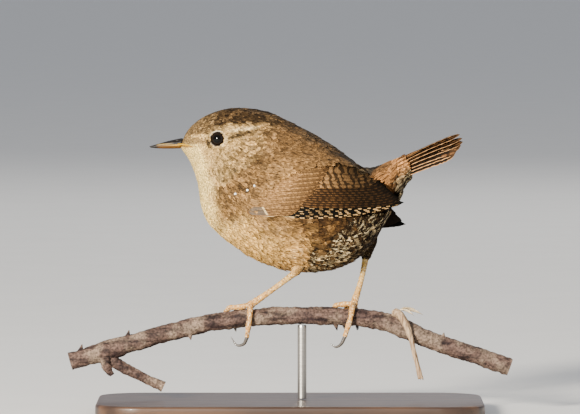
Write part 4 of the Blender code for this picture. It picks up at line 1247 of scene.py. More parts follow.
class Vanes:
    """Fine closed vanes, gathered for one mesh with their patterns' values."""

    def __init__(self):
        self.faces = []
        self.rows = {key: [] for key in ("points", "vane", "kind", "chance", "patch")}

    def add(self, at, length, half_width, point, kind, chance, cell, rows, notch, draw):
        """At turns the share along, the millimetres across and a height into a point."""
        share = np.linspace(0, 1, rows) ** 0.92
        columns = np.array(VANE_COLUMNS)
        width = half_width * vane_width(share, point)
        first = sum(len(p) for p in self.rows["points"])
        edge = notch * np.where(share > 0.55, draw.uniform(-1, 1, rows), 0.0)
        rough = np.zeros((rows, len(columns)))
        rough[:, 0], rough[:, -1] = edge, np.roll(edge, 3)
        ridge = np.exp(-(((columns - columns[VANE_SHAFT]) / 0.1) ** 2)) * 0.09
        layers = []
        for sign in (1, -1):
            for r, s in enumerate(share):
                across = columns * width[r] + rough[r] * width[r]
                thin = VANE_THICKNESS / 2 * (1 - 0.7 * columns**2) * (1 - 0.5 * s)
                height = sign * thin + (ridge * (1 - 0.75 * s) if sign > 0 else 0)
                layers.append([at(s, a, h) for a, h in zip(across, height)])
        shape = (2, rows, len(columns))
        top, under = first + np.arange(np.prod(shape)).reshape(shape)
        corners = (slice(None, -1), slice(1, None))
        ahead, around = ((0, 0), (0, 1), (1, 1), (1, 0)), ((0, 0), (1, 0), (1, 1), (0, 1))
        quads = [
            np.stack([layer[corners[r], corners[c]] for r, c in order], -1).reshape(-1, 4)
            for layer, order in ((top, ahead), (under, around))
        ]
        rims = [
            np.concatenate([g[0], g[1:, -1], g[-1, -2::-1], g[-2:0:-1, 0]]) for g in (top, under)
        ]
        quads.append(np.stack([*rims, np.roll(rims[1], -1), np.roll(rims[0], -1)], -1))
        self.faces += [tuple(q) for q in np.concatenate(quads)]
        across_of = np.broadcast_to(columns, shape)
        share_of = np.broadcast_to(share[None, :, None], shape)
        u0, v0, du, dv = cell
        layer = np.arange(2)[:, None, None] * np.ones_like(across_of)
        u = u0 + du * (0.02 + 0.46 * (across_of + 1) / 2 + 0.5 * layer)
        v = v0 + dv * (0.02 + 0.96 * share_of)
        values = {
            "points": np.array(layers).reshape(-1, 3),
            "vane": np.stack([across_of, share_of * length, share_of], -1).reshape(-1, 3),
            "kind": np.full(across_of.size, float(kind)),
            "chance": np.full(across_of.size, chance),
            "patch": np.stack([u, v], -1).reshape(-1, 2),
        }
        for key, value in values.items():
            self.rows[key].append(value)

    def mesh(self, name, look):
        rows = {key: np.concatenate(values) for key, values in self.rows.items()}
        obj = mesh_object(name, rows["points"], self.faces, look)
        for key in ("vane", "kind", "chance"):
            set_values(obj.data, key, rows[key])
        set_patch_map(obj.data, rows["patch"][corner_verts(obj.data)])
        return turned_out(obj)


def map_cell(k, count, columns=10):
    rows = -(-count // columns)
    return (k % columns) / columns, (k // columns) / rows, 1 / columns, 1 / rows


def build_wing(side, settings, look):
    """A folded wing: tier on tier of vanes, bent to the body, over a closed bed."""
    draw = np.random.default_rng(settings.seed + 11)

    def place(x, z, height):
        px, pz = droop(x, z, side)
        return px, side * (wing_depth(px, pz) + height), pz

    vanes = Vanes()
    total = sum(tier[1] for tier in WING_TIERS)
    number = 0
    for _, count, root0, root1, tip0, tip1, bulge, half, lift, kind, point in WING_TIERS:
        for k in range(count):
            share = k / max(count - 1, 1)
            root = np.array(root0) + (np.array(root1) - np.array(root0)) * share
            tip = np.array(tip0) + (np.array(tip1) - np.array(tip0)) * share
            ahead = unit(tip - root)
            tip = (
                tip + ahead * (bulge * math.sin(math.pi * share**0.85) + draw.uniform(-0.25, 0.25))
            )
            up = np.array((-ahead[1], ahead[0]))
            tip = tip + up * draw.uniform(-0.08, 0.08)
            length = float(np.linalg.norm(tip - root))

            def at(s, across, height):
                bend = 0.012 * length * math.sin(math.pi * s)
                x, z = root + (tip - root) * s - up * bend + up * across
                tilt = -0.34 * across / half
                droops = -0.12 * (across / half) ** 2
                settle = lift * (1 - 0.25 * s)
                return place(x, z, max(settle + tilt + droops, 0.04) + height)

            cell = map_cell(number, total)
            rows = 28 if length > 16 else 18
            vanes.add(at, length, half, point, kind, draw.uniform(), cell, rows, 0.03, draw)
            number += 1
    return vanes.mesh("wing_" + SIDES[side], look), wing_bed(place)


def wing_bed(place, rings=8):
    """A thin closed plate under the vanes, points and faces. Its dark colour is painted shade for
    the gaps between the vanes.
    """
    outline = smooth_closed(WING_OUTLINE, 4)
    centre = outline.mean(axis=0)
    layers = []
    for height in (-0.35, 0.12):
        for k in range(rings):
            layers.append(
                [place(*(centre + (p - centre) * 0.93 * (1 - k / rings)), height) for p in outline]
            )
    low, high = layers[:rings], layers[rings:]
    return loft(np.array(low[::-1] + high))


def smooth_closed(points, steps):
    points = np.asarray(points, float)
    padded = np.concatenate([points[-2:], points, points[:3]])
    places = 2 + np.arange(len(points) * steps) / steps
    return spline(padded, places)


def wrist_patch(look, colour, px, pz):
    """The grey patch at the wing's lower front edge, and the cream line under it."""
    slanted = px + (pz - 0.0612) * 0.6
    across = slanted.band(-0.0126, -0.0121, -0.0076, -0.0071)
    up = pz.band(0.0600, 0.0603, 0.0624, 0.0627)
    grain = look.noise(look.place(), 1100, 2.0)
    colour = look.mix(across * up * 0.7, colour, look.mix(grain, (40, 36, 32), (112, 104, 92)))
    line = pz.band(0.0593, 0.0595, 0.0597, 0.0599)
    line = line * px.step(-0.0128, -0.0122) * px.fall(0.0002, 0.0022)
    rim = slanted.band(-0.0078, -0.0075, -0.0072, -0.0069) * up
    return look.mix(
        (line * (1 - px.step(-0.006, 0.001) * 0.5)).at_least(rim) * 0.7, colour, (216, 188, 140)
    )


def flight_surface():
    """Wing feathers. Each kind has its own bars: 0 primaries, 1 secondaries, 2 tertials,
    3 greater coverts, 4 small coverts, 5 alula."""
    look = Surface("wing_feathers", roughness=0.7, specular=0.06)
    across, along, share = look.parts(look.attribute("vane", "Vector"))
    kind, chance = look.attribute("kind"), look.attribute("chance")
    place = look.place()
    px, _, pz = look.parts(place)
    wobble = look.noise((across * 1.4, along * 0.5, chance * 60), 1.0, 2.0)
    drift = look.noise(place, 260, 2.0)
    barbs = look.noise(
        (across * 1.6 + chance * 30, (along - abs(across + 0.5) * 0.8) * 7, chance * 70), 1.0, 2.0
    )

    def is_kind(k):
        return (0.5 - abs(kind - k)).above_zero()

    def wave(period, slant, uneven, stagger=0.8):
        phase = along + across * slant + chance * period * stagger
        return (phase + wobble * uneven + drift * uneven).wave(period)

    # The wing darkens from its shoulder to its point, and along its upper edge: partly its own
    # darker feathers, partly painted shade on the rear of the wing turned from the light
    rear = (px - (pz - 0.066) * 0.8).step(-0.001, 0.010)
    tan = look.mix(drift, (132, 96, 56), (162, 123, 78))
    brown = look.mix(drift, (84, 56, 30), (116, 81, 44))
    ground = look.mix(rear, tan, brown)
    dark, black = (28, 18, 9), (9, 7, 4)
    outer = across.fall(-0.8, -0.55)
    web = across.step(-0.42, -0.2)

    # Primaries: pale blocks on the near-black outer web
    blocks = wave(2.85, 0.3, 1.5, 0.9).step(0.25, 0.6)
    outer_web = across.fall(-0.84, -0.72)
    pale = look.mix(wobble, (222, 186, 128), (140, 98, 54))
    primary = look.mix(blocks * outer_web * share.fall(0.9, 0.99), black, pale)

    # Secondaries: a light outer edge, dark behind it, and wavy bars
    fine = wave(1.9, 0.9, 1.3).step(-0.2, 0.5)
    secondary = look.mix(across.step(-0.84, -0.68) * (0.62 + rear * 0.24), ground, dark)
    secondary = look.mix(web * 0.8, secondary, black)
    secondary = look.mix(fine * (0.3 + rear * 0.45), secondary, dark)

    # Tertials and the inner secondaries: bold wavy bars
    bold = wave(2.1, 0.9, 2.6, 0.9).step(-0.1, 0.5)
    tertial = look.mix(bold * 0.85, tan, dark)
    tertial = look.mix(across.step(0.3, 0.9) * 0.5, tertial, black)

    covert_bar = wave(1.7, 0.9, 1.9, 1.0).step(-0.1, 0.6)
    covert = look.mix(
        (covert_bar * (0.42 + rear * 0.3)).at_least(across.step(-0.8, -0.5) * 0.55), ground, dark
    )
    small = look.mix((covert_bar * 0.4).at_least(web * 0.42), tan, dark)
    tip_edge = share.step(0.8, 0.97) * 0.35
    small = look.mix(tip_edge, small, (160, 124, 88))
    alula = look.mix(outer * 0.5, (104, 74, 46), (150, 112, 72))

    colour = secondary
    for k, other in ((2, tertial), (3, covert), (4, small), (5, alula)):
        colour = look.mix(is_kind(k), colour, other)
    # The long feathers darken towards the point of the wing, but for a thin light edge: their own
    # dark tips, with painted shade at the wing's top rear edge
    end = (px + (pz - 0.067) * 0.2).step(0.007, 0.021) * (1 - outer * 0.15)
    colour = look.mix(end * 0.9, colour, black)
    colour = look.mix(is_kind(0), colour, primary)
    shaft = 1 - abs(across + 0.5).step(0.03, 0.12)
    colour = look.mix(shaft * (1 - is_kind(0)) * 0.6, colour, dark)
    gap = ((px + 0.003) ** 2.0 + (pz - 0.0705) ** 2.0) ** 0.5
    shoulder = gap.fall(0.002, 0.009) * (1 - is_kind(0))
    colour = look.shade(colour, (0.45 + barbs.step(0.34, 0.66) * 0.75) * (1 + shoulder * 0.34))
    return look.finish(wrist_patch(look, colour, px, pz), barbs, 0.4, 0.06)


def bed_surface():
    look = Surface("wing_down", roughness=0.9, specular=0.1)
    # Near-black painted shade, seen in the gaps between the vanes
    grain = look.noise(look.place(), 900, 3.0)
    return look.finish(look.mix(grain, (16, 12, 9), (34, 26, 19)), grain, 0.5, 0.1)


# Tail
TAIL_PAIRS = 6
TAIL_ROOT, TAIL_TOP_TIP = np.array((34.8, 0.0, 76.2)), np.array((50.9, 0.0, 83.7))
TAIL_TIP_DROP, TAIL_TIP_SPREAD = (-1.7, 4.8), 5.6
TAIL_ROOT_SPREAD, TAIL_ROOT_DROP, TAIL_LONGEST_PAIR_GAIN = 1.9, 2.9, 1.0
TAIL_HALF_WIDTH, TAIL_ROOF_DEG = 2.2, (14.0, 62.0)
TAIL_START = 6.0  # how far in front of the solid's root the vanes begin, under the coverts


def build_tail(settings, look):
    """Twelve vanes like the tiles of a roof, with loose, blunt tips."""
    draw = np.random.default_rng(settings.seed + 23)
    vanes = Vanes()
    number = 0
    for side in (-1, 1):
        for pair in range(TAIL_PAIRS):
            share = pair / (TAIL_PAIRS - 1)
            lean = math.radians(TAIL_ROOF_DEG[0] + (TAIL_ROOF_DEG[1] - TAIL_ROOF_DEG[0]) * share)
            way = np.array((0, side * math.cos(lean), -math.sin(lean)))
            root_spread = side * TAIL_ROOT_SPREAD * (0.15 + 0.85 * share)
            start = TAIL_ROOT + (0, root_spread, -TAIL_ROOT_DROP * share**1.2)
            gain = TAIL_LONGEST_PAIR_GAIN * math.sin(math.pi * min(share * 1.3, 1.0))
            tip = TAIL_TOP_TIP + (
                TAIL_TIP_DROP[0] * share**2 + gain,
                side * TAIL_TIP_SPREAD * (0.12 + 0.88 * share),
                -TAIL_TIP_DROP[1] * share,
            )
            ahead = unit(tip - start)
            start = start - ahead * TAIL_START
            out = np.cross(way, ahead) * side
            out = out if out[2] > 0 else -out
            sink = 0.2 * pair + (0.1 if side > 0 else 0.0)
            length = float(np.linalg.norm(tip - start))
            twist = draw.uniform(-0.06, 0.06)

            def at(s, across, height):
                bend = out * (0.5 * math.sin(math.pi * s) + twist * across * s * 2)
                curl = -0.05 * (across / TAIL_HALF_WIDTH) ** 2
                return (
                    start + (tip - start) * s + way * across + bend + out * (height - sink + curl)
                )

            cell = map_cell(number, 6 * TAIL_PAIRS, 6)
            vanes.add(at, length, TAIL_HALF_WIDTH, 0.55, 6, draw.uniform(), cell, 34, 0.07, draw)
            for row in (1, 2):
                cut = draw.uniform(0.3, 0.42) + 0.05 * (row - 1) + 0.02 * (TAIL_PAIRS - pair)

                def cover(s, across, height):
                    return at(
                        s * cut, across + 0.6 * (row - 1.5), height + 0.8 - 0.2 * row - 0.15 * s
                    )

                cell = map_cell(number + 2 * TAIL_PAIRS * row, 6 * TAIL_PAIRS, 6)
                vanes.add(cover, length * cut, 1.3, 1.3, 7, draw.uniform(), cell, 16, 0.1, draw)
            number += 1
    return vanes.mesh("tail", look)


def tail_surface():
    """Tail feathers: pale rufous edges on black, with loose bars."""
    look = Surface("tail_feathers", roughness=0.7, specular=0.06)
    across, along, share = look.parts(look.attribute("vane", "Vector"))
    chance = look.attribute("chance")
    wobble = look.noise((across * 1.2, along * 0.35, chance * 60), 1.0, 2.0)
    barbs = look.noise(
        (across * 1.5 + chance * 30, (along - abs(across + 0.5) * 0.9) * 7, chance * 70), 1.0, 2.0
    )
    phase = along + abs(across) * 0.8 + chance * 2.0 + wobble * 1.6
    bar = phase.wave(2.6).step(0.0, 0.7)
    rufous = look.mix(wobble, (84, 54, 30), (124, 86, 52))
    dark = (12, 8, 5)
    side = abs(across)
    edge = side.step(0.87, 0.95)
    inner = side.step(0.1, 0.3) * (1 - edge)
    colour = look.mix(bar * 0.8, rufous, dark)
    colour = look.mix(inner * 0.96, colour, dark)
    light_edge = look.mix(wobble, (232, 180, 124), (156, 110, 70))
    colour = look.mix(edge * (1 - bar * 0.35), colour, light_edge)
    colour = look.mix(share.step(0.86, 1.0) * 0.5, colour, (84, 60, 38))
    covert = look.attribute("kind").step(6.4, 6.6)
    rump = look.mix(wobble, COLOURS["rump"], COLOURS["rump"] * 0.6)
    rump = look.mix(side.step(0.3, 0.8) * 0.85, rump, dark)
    colour = look.mix(covert, colour, rump)
    colour = look.shade(colour, 0.66 + barbs * 0.56)
    return look.finish(colour, barbs, 0.4, 0.06)


# Bill
BILL_ROOT_X, BILL_SLANT, BILL_LENGTH = -32.65, 0.257, 9.5
BILL_CULMEN = (82.55, 82.05, 81.45, 80.75, 80.1)
BILL_MOUTH = (80.95, 80.8, 80.6, 80.3, 79.95)
BILL_UNDERSIDE = (79.45, 79.4, 79.4, 79.5, 79.72)
BILL_HALF_WIDTH = (1.75, 1.35, 1.0, 0.65, 0.22)
NOSTRIL_PLACE, NOSTRIL_SIZE = (-33.9, 81.75), (0.75, 0.28)

# Legs and feet
TARSUS_RADII, TOE_RADIUS, CLAW_RADIUS = (0.95, 0.78, 0.8, 1.05), 0.78, 0.42
TOE_RADII = tuple(TOE_RADIUS * r for r in (1.05, 0.95, 1.08, 0.86, 1.0, 0.8, 0.86))
CLAW_RADII = tuple(CLAW_RADIUS * r for r in (1.3, 1.1, 0.75, 0.2))
CLAW_ROOT, LEG_BOW, SCUTE_HEIGHT = 0.7, {-1: 0.25, 1: 0.35}, (0.07, 0.09)

# Branch
BRANCH_LINE = (
    (-66.0, 15.5), (-57.0, 18.1), (-42.0, 22.6), (-27.0, 26.5), (-15.0, 28.3), (-3.0, 29.2),
    (9.0, 29.2), (21.0, 28.6), (30.0, 27.0), (39.0, 23.2), (45.0, 20.8), (57.0, 16.9), (66.0, 13.7),
)
BRANCH_RADIUS = 2.62
TWIG_LINE = ((-55.0, 18.0), (-52.2, 15.0), (-47.6, 12.4), (-42.4, 9.9), (-38.0, 7.8))
TWIG_RADII = (2.0, 1.75, 1.5, 1.45, 1.6)
STUB_LINE = ((-55.6, -1.0, 17.0), (-54.8, -1.0, 13.6), (-53.4, -1.0, 11.4))
STUB_RADII = (1.9, 1.4, 0.7)
THORNS = ((-62.0, 8, 1.5), (-48.5, -10, 1.6), (-30.4, 200, 1.5), (13.5, 172, 1.7), (46.0, -12, 1.3))
STEM_LINE = (
    (31.4, -1.2, 30.4), (33.6, -3.3, 28.8), (35.8, -4.4, 24.0), (37.4, -4.5, 17.5),
    (39.2, -4.3, 10.6),
)
STEM_RADII = (1.3, 1.2, 0.85, 0.65, 0.75)
BRACT_ROOT, BRACT_TIP, BRACT_HALF_WIDTH = (32.4, -1.4, 30.9), (40.0, 0.4, 29.4), 1.5

# Stand
BASE_SIZE, BASE_CORNER_RADIUS, BASE_EDGE = (116.0, 66.0, 4.0), 14.0, 0.9
ROD_X, ROD_RADIUS = 3.6, 1.35


def branch_centre(x):
    table = np.array(BRANCH_LINE)
    k = int(np.clip(np.searchsorted(table[:, 0], x) - 1, 0, len(table) - 2))
    share = (x - table[k, 0]) / (table[k + 1, 0] - table[k, 0])
    point = spline(table, np.array([k + share]))[0]
    return np.array((point[0], 0.0, point[1]))


def branch_radius(x, grow=0.0):
    fork = 0.45 * np.exp(-(((x + 54.5) / 5.0) ** 2))
    knot = 0.35 * np.exp(-(((x - 32.0) / 4.5) ** 2))
    return BRANCH_RADIUS + fork + knot + grow


def on_branch(x, turn_deg, clear):
    """A point this far off the branch's surface, turned from its top. Positive is the far side."""
    turn = math.radians(turn_deg)
    reach = branch_radius(x) + clear
    return branch_centre(x) + np.array((0, math.sin(turn), math.cos(turn))) * reach


def waves(seed, count, longest, shortest, turns):
    """A rough relief along and round a piece, made of seeded waves."""
    draw = np.random.default_rng(seed)
    length = np.exp(draw.uniform(math.log(shortest), math.log(longest), count))
    way = draw.choice((-1, 1), count)
    round_count = draw.integers(0, turns + 1, count)
    phase = draw.uniform(0, 2 * np.pi, count)
    size = (length / longest) ** 0.6
    size /= np.sqrt(np.sum(size**2) / 2)

    def relief(along, turn):
        total = 0.0
        for k in range(count):
            angle = 2 * np.pi * along / length[k] * way[k] + round_count[k] * turn + phase[k]
            total = total + size[k] * np.sin(angle)
        return total

    return relief


def fuse(pieces, name):
    """One closed mesh from overlapping closed meshes."""
    first, *others = pieces
    group = bpy.data.collections.new(name + "_parts")
    bpy.context.scene.collection.children.link(group)
    for other in others:
        bpy.context.scene.collection.objects.unlink(other)
        group.objects.link(other)
    joiner = first.modifiers.new("fuse", "BOOLEAN")
    joiner.operation, joiner.operand_type, joiner.solver = "UNION", "COLLECTION", "MANIFOLD"
    joiner.collection = group
    made = plain_mesh(first, name)
    for other in others:
        bpy.data.objects.remove(other, do_unlink=True)
    bpy.data.collections.remove(group)
    return made


def remeshed(obj, voxel_mm, smooth_steps=2):
    """The object as one skin of small even faces, with its joints softened."""
    name = obj.name
    voxels = obj.modifiers.new("voxels", "REMESH")
    voxels.mode, voxels.voxel_size, voxels.use_smooth_shade = "VOXEL", voxel_mm * MM, True
    softened = obj.modifiers.new("soften", "SMOOTH")
    softened.factor, softened.iterations = 0.5, smooth_steps
    obj.name = name + "_rough"
    return plain_mesh(obj, name)


def build_eye(side, look, lid_look):
    mirror = mirrored(side)
    centre, ahead = EYE_CENTRE * mirror, unit(EYE_LOOK) * mirror
    out = unit(np.cross((0, 0, 1), ahead)) * -side
    up = np.cross(ahead, out) * -side
    polar = np.linspace(0.02, math.pi - 0.02, 40)
    turns = circle(64)
    ways = out * np.cos(turns)[:, None] + up * np.sin(turns)[:, None]
    rings = [centre + EYE_RADIUS * (ahead * math.cos(p) + ways * math.sin(p)) for p in polar]
    ball = ring_object("eye_" + SIDES[side], rings, look)
    depth = np.repeat([math.cos(p) for p in polar] + [1, -1], [64] * 40 + [1, 1])
    set_values(ball.data, "depth", depth)
    # The lids: a soft ring with a corner in front and behind
    turns = circle(96)
    grain = waves(5, 14, 2.2, 0.35, 3)
    rings, edge = [], []
    for a in turns:
        way = out * math.cos(a) + up * math.sin(a)
        corner = 0.16 * abs(math.cos(a)) ** 7
        middle = (
            centre + way * (LID_RADIUS + 0.1 + corner) + ahead * (LID_DEPTH + 0.02 - 0.35 * corner)
        )
        small = circle(16)
        bead = 1 + 0.09 * grain(a * LID_RADIUS, small) + 0.1 * np.sin(a * 34 + 2 * small)
        size_out, size_ahead = 0.3 * bead, 0.24 * bead
        rings.append([
            middle + way * math.cos(b) * o + ahead * math.sin(b) * h
            for b, o, h in zip(small, size_out, size_ahead)
        ])
        edge += list(np.cos(small))
    lids = ring_object("lids_" + SIDES[side], rings, lid_look, wrap=True)
    set_values(lids.data, "edge", edge)
    return ball, lids


def eye_surface():
    look = Surface("eye", roughness=0.08, specular=0.16)
    depth = look.attribute("depth")
    fibres = look.noise(look.place(), 4200, 3.0)
    iris = look.mix(fibres, (14, 9, 5), (26, 16, 8))
    pupil = depth.step(0.84, 0.9)
    return look.finish(look.mix(pupil, iris, (5, 4, 3)))


def lid_surface():
    look = Surface("lids", roughness=0.55, specular=0.4)
    edge = look.attribute("edge")
    grain = look.noise(look.place(), 2600, 3.0)
    pale = look.mix(grain, (150, 128, 92), (240, 224, 186))
    rim = look.mix(grain, (18, 15, 12), (48, 38, 30))
    return look.finish(look.mix(edge.step(-0.15, 0.5), rim, pale), grain, 0.5, 0.05)


def bill_ring(share, upper, sides):
    """A D-shaped section across the bill. Below zero the share goes on into the face."""
    place = max(share, 0.0) * (len(BILL_CULMEN) - 1)
    half, mouth, outer = (
        float(spline(table, np.array([place]))[0])
        for table in (BILL_HALF_WIDTH, BILL_MOUTH, BILL_CULMEN if upper else BILL_UNDERSIDE)
    )
    shrink = 1 + min(share, 0) * 4
    if upper:
        inner, fullness = mouth, 0.86
    else:
        inner, fullness = mouth - 0.3 * (1 - 0.6 * max(share, 0)) + 0.12, 0.78
        half *= 0.93
    ring = []
    for k in range(sides + 1):
        turn = math.pi * k / sides
        keel = 0.06 * math.exp(-((math.cos(turn) / 0.2) ** 2)) if upper else 0
        z = inner + (outer - inner) * max(math.sin(turn), 0.0) ** fullness * shrink + keel
        slant = BILL_SLANT * (z - BILL_MOUTH[0]) * (1 - max(share, 0))
        ring.append((BILL_ROOT_X - BILL_LENGTH * share + slant, half * math.cos(turn) * shrink, z))
    lip = 0.08 if upper else -0.08
    closing = [
        (ring[-1][0] + (ring[0][0] - ring[-1][0]) * s, ring[-1][1] + (ring[0][1] - ring[-1][1]) * s,
         inner + lip * math.sin(math.pi * s))
        for s in np.linspace(0, 1, 8)[1:-1]
    ]
    return ring + closing


def build_bill(look_upper, look_lower):
    shares = np.concatenate([[-0.11, -0.05], 1 - (1 - np.linspace(0, 1, 40)) ** 1.25])
    made = []
    for name, upper, reach, look in (
        ("bill_upper", True, 1.0, look_upper),
        ("bill_lower", False, 0.97, look_lower),
    ):
        rings = [bill_ring(min(s * reach, reach) if s > 0 else s, upper, 22) for s in shares]
        made.append(ring_object(name, rings, look))
    upper = made[0]
    points = positions(upper.data)
    # Nostrils: slits pressed in beside the culmen, under a small flap
    for side in (-1, 1):
        x, z = NOSTRIL_PLACE
        dx = (points[:, 0] - x) / NOSTRIL_SIZE[0]
        dz = (points[:, 2] - z - 0.06 * (points[:, 0] - x)) / NOSTRIL_SIZE[1]
        near_slit = np.exp(-((dx**2 + dz**2) ** 1.5)) * (points[:, 1] * side > 0)
        points[:, 1] -= side * 0.42 * near_slit
    upper.data.vertices.foreach_set("co", (points * MM).ravel())
    return made


def bill_surface(name, upper):
    look = Surface(name, roughness=0.42, specular=0.25)
    place = look.place()
    x, _, z = look.parts(place)
    streak = look.noise(place, (260.0, 1500.0, 1500.0), 3.0)
    dark = look.mix(streak, (12, 10, 8), (28, 22, 17))
    horn = look.mix(streak, (120, 98, 48), (150, 124, 66))
    if upper:
        # The cutting edge is pale in its middle
        above = z - (x * 0.0735 + 0.0833)
        middle = x.band(-0.0404, -0.0392, -0.0368, -0.0345)
        colour = look.mix(above.fall(0.0002, 0.0006) * middle * 0.8, dark, horn)
    else:
        base = look.mix(streak, (164, 122, 8), (182, 140, 22))
        colour = look.mix(x.step(-0.0385, -0.0335), horn, base)
        # Painted shade along the underside of the lower mandible
        brown = look.mix(streak, (62, 34, 4), (84, 48, 10))
        colour = look.mix(z.fall(0.0802, 0.0806) * 0.92, colour, brown)
        colour = look.mix(x.fall(-0.0404, -0.0388), colour, dark)
    return look.finish(colour, streak, 0.25, 0.03, roughness=0.36 + streak * 0.2)


def on_body(x, z, side, grow=0.0):
    """The plumage's outer surface at a place in the side view."""
    u, turn = np.meshgrid(
        np.linspace(0, LAST_STATION, 721), np.linspace(0.02, math.pi - 0.02, 240), indexing="ij"
    )
    points = body_point(u, turn)
    k = np.argmin(np.hypot(points[..., 0] - x, points[..., 2] - z))
    u, turn = u.reshape(-1)[k], turn.reshape(-1)[k]
    point = body_point(np.array([u]), np.array([turn]), grow)[0]
    normal = body_frame(np.array([u]), np.array([turn]))[3][0]
    mirror = mirrored(side)
    return point * mirror, normal * mirror, u


GAPE_RADII = (0.2, 0.26, 0.26, 0.24, 0.2, 0.14, 0.05)


def build_gape(look):
    """The fleshy corner of the mouth, a thin ridge from the bill back over the face."""
    pieces = []
    for side in (-1, 1):
        line = [np.array((-33.6, side * 1.5, 80.78))]
        for share in np.linspace(0, 1, 7):
            x, z = -32.2 + 3.5 * share, 80.75 - 0.5 * share
            point, _, _ = on_body(x, z, side, -0.02 - 0.25 * share**3)
            line.append(point)
        pieces.append(tube_object("gape", smooth_line(line, 4), GAPE_RADII, 14, look))
    return joined(pieces, "gape")


def joined(pieces, name):
    """Separate closed meshes as one object."""
    with bpy.context.temp_override(active_object=pieces[0], selected_editable_objects=pieces):
        bpy.ops.object.join()
    pieces[0].name = pieces[0].data.name = name
    return pieces[0]


# Toes and claws of each foot. The hind ones give their places, and the front ones where they lie
# along the branch and how far they are turned round it from its top.
DIGITS = {
    -1: {
        "hind": (
            ((-11.9, -2.7, 31.6), (-12.1, -4.0, 28.6), (-12.6, -4.0, 25.4), (-12.9, -3.6, 23.0)),
            ((-13.0, -3.6, 22.6), (-13.9, -3.3, 20.9), (-16.0, -2.7, 20.6), (-17.7, -2.2, 23.0)),
        ),
        "inner": (
            ((-15.0, -14), (-18.0, 6), (-19.6, 50)), ((-19.9, 74), (-20.0, 100), (-19.6, 124))
        ),
        "middle": (
            ((-14.2, 22), (-16.6, 62), (-16.6, 104)), ((-16.6, 127), (-16.4, 152), (-16.2, 176))
        ),
        "outer": (
            ((-12.0, 42), (-12.6, 84), (-12.4, 118)), ((-12.3, 141), (-12.1, 163), (-11.9, 185))
        ),
    },
    1: {
        "hind": (
            ((18.7, -2.2, 32.0), (18.2, -4.0, 29.0), (17.2, -4.0, 25.6), (16.4, -3.6, 23.2)),
            ((16.3, -3.6, 22.8), (15.3, -3.4, 20.9), (13.7, -3.0, 20.0), (12.2, -2.6, 21.0)),
        ),
        "inner": (((15.8, 8), (13.6, 34), (12.9, 74)), ((12.8, 98), (12.9, 122), (13.2, 144))),
        "middle": (((17.2, 40), (16.0, 80), (16.0, 116)), ((16.0, 139), (16.2, 163), (16.4, 186))),
        "outer": (((19.4, 46), (19.8, 86), (20.0, 118)), ((20.1, 141), (20.2, 165), (20.0, 188))),
    },
}
TOE_CLEAR = 0.3
CLAW_CLEAR = {"inner": (0.9, 0.9, 1.0), "middle": (0.9, 0.9, 1.1), "outer": (0.9, 0.9, 1.1)}


def digit_line(side, name, claw):
    """The points of a toe, or of its claw."""
    places = DIGITS[side][name][claw]
    if name == "hind":
        return [*places]
    gaps = CLAW_CLEAR[name] if claw else (TOE_RADIUS + TOE_CLEAR,) * 3
    return [on_branch(x, turn, gap) for (x, turn), gap in zip(places, gaps)]


def scutes(count, height):
    """Overlapping plates along a leg or toe, as extra radius."""

    def relief(share, turn):
        phase = (share * count) % 1.0
        return height * (smooth(0, 0.16, phase) - 0.55 * phase) + 0 * turn

    return relief


def build_leg(side, look):
    """The tarsus with its scutes, and the toes with their pad as one piece."""
    hip, ankle, knuckle = LEGS[side]
    down = unit(knuckle - ankle)
    bow = np.array((LEG_BOW[side], 0, 0))
    top = ankle + unit(ankle - hip) * 0.3
    bottom = knuckle - down * 1.1
    share = np.linspace(0, 1, 90)
    line = top + (bottom - top) * share[:, None] + bow * np.sin(math.pi * share)[:, None]
    line = np.concatenate([[line[0] - unit(ankle - hip) * 1.1], line])
    plates, rough = scutes(9, SCUTE_HEIGHT[0]), waves(3 + side, 12, 3.0, 0.5, 3)

    def relief(share, turn):
        return plates(share, turn) + 0.02 * rough(share * 20, turn)

    tarsus = tube_object("tarsus_" + SIDES[side], line, TARSUS_RADII, 28, look, relief)
    pad = smooth_line([knuckle + down * reach for reach in (-1.0, -0.2, 0.35, 0.7)], 6)
    pieces = [tube_object("foot", pad, (0.98, 1.25, 1.2, 0.75), 20, look)]
    for name in DIGITS[side]:
        places = digit_line(side, name, 0)
        toe, plates = smooth_line([knuckle, *places], 14), scutes(4 * len(places), SCUTE_HEIGHT[1])
        pieces.append(tube_object(name, toe, TOE_RADII, 22, look, plates))
    foot = remeshed(joined(pieces, "foot_" + SIDES[side]), 0.1)
    foot.data.materials.clear()
    foot.data.materials.append(look.material)
    foot.data.shade_smooth()
    return tarsus, foot


def build_claws(side, look):
    made = []
    for name in DIGITS[side]:
        places = np.array(digit_line(side, name, 1), float)
        root = places[0] - unit(places[1] - places[0]) * CLAW_ROOT
        line, radii = smooth_line([root, *places], 10), (CLAW_RADII[0] * 0.9, *CLAW_RADII)
        made.append(tube_object(f"claw_{name}_{SIDES[side]}", line, radii, 18, look))
    return made


def leg_surface():
    look = Surface("leg_skin", roughness=0.5, specular=0.4, coat=0.12)
    place = look.place()
    _, _, z = look.parts(place)
    fine = look.noise(place, 1500, 3.0)
    broad = look.noise(place, 420, 2.0)
    high = z.step(0.030, 0.046)
    colour = look.mix(high, (188, 136, 66), (188, 152, 76))
    colour = look.mix(broad.step(0.5, 0.75) * 0.4, colour, (176, 118, 82))
    colour = look.mix(fine.step(0.48, 0.62) * 0.75, colour, (106, 70, 36))
    # Painted highlights: small white glints over the leg's scales
    painted_glints = look.noise(place, (2600.0, 2600.0, 1500.0), 2.0)
    colour = look.mix(painted_glints.step(0.54, 0.64) * 0.6, colour, (238, 222, 184))
    return look.finish(colour, fine, 0.4, 0.05, roughness=0.42 + fine * 0.22)


def claw_surface():
    look = Surface("claw_horn", roughness=0.34, specular=0.5, coat=0.3)
    place = look.place()
    streak = look.noise(place, 1800, 3.0)
    return look.finish(look.mix(streak, (30, 26, 24), (92, 84, 76)), streak, 0.25, 0.03)


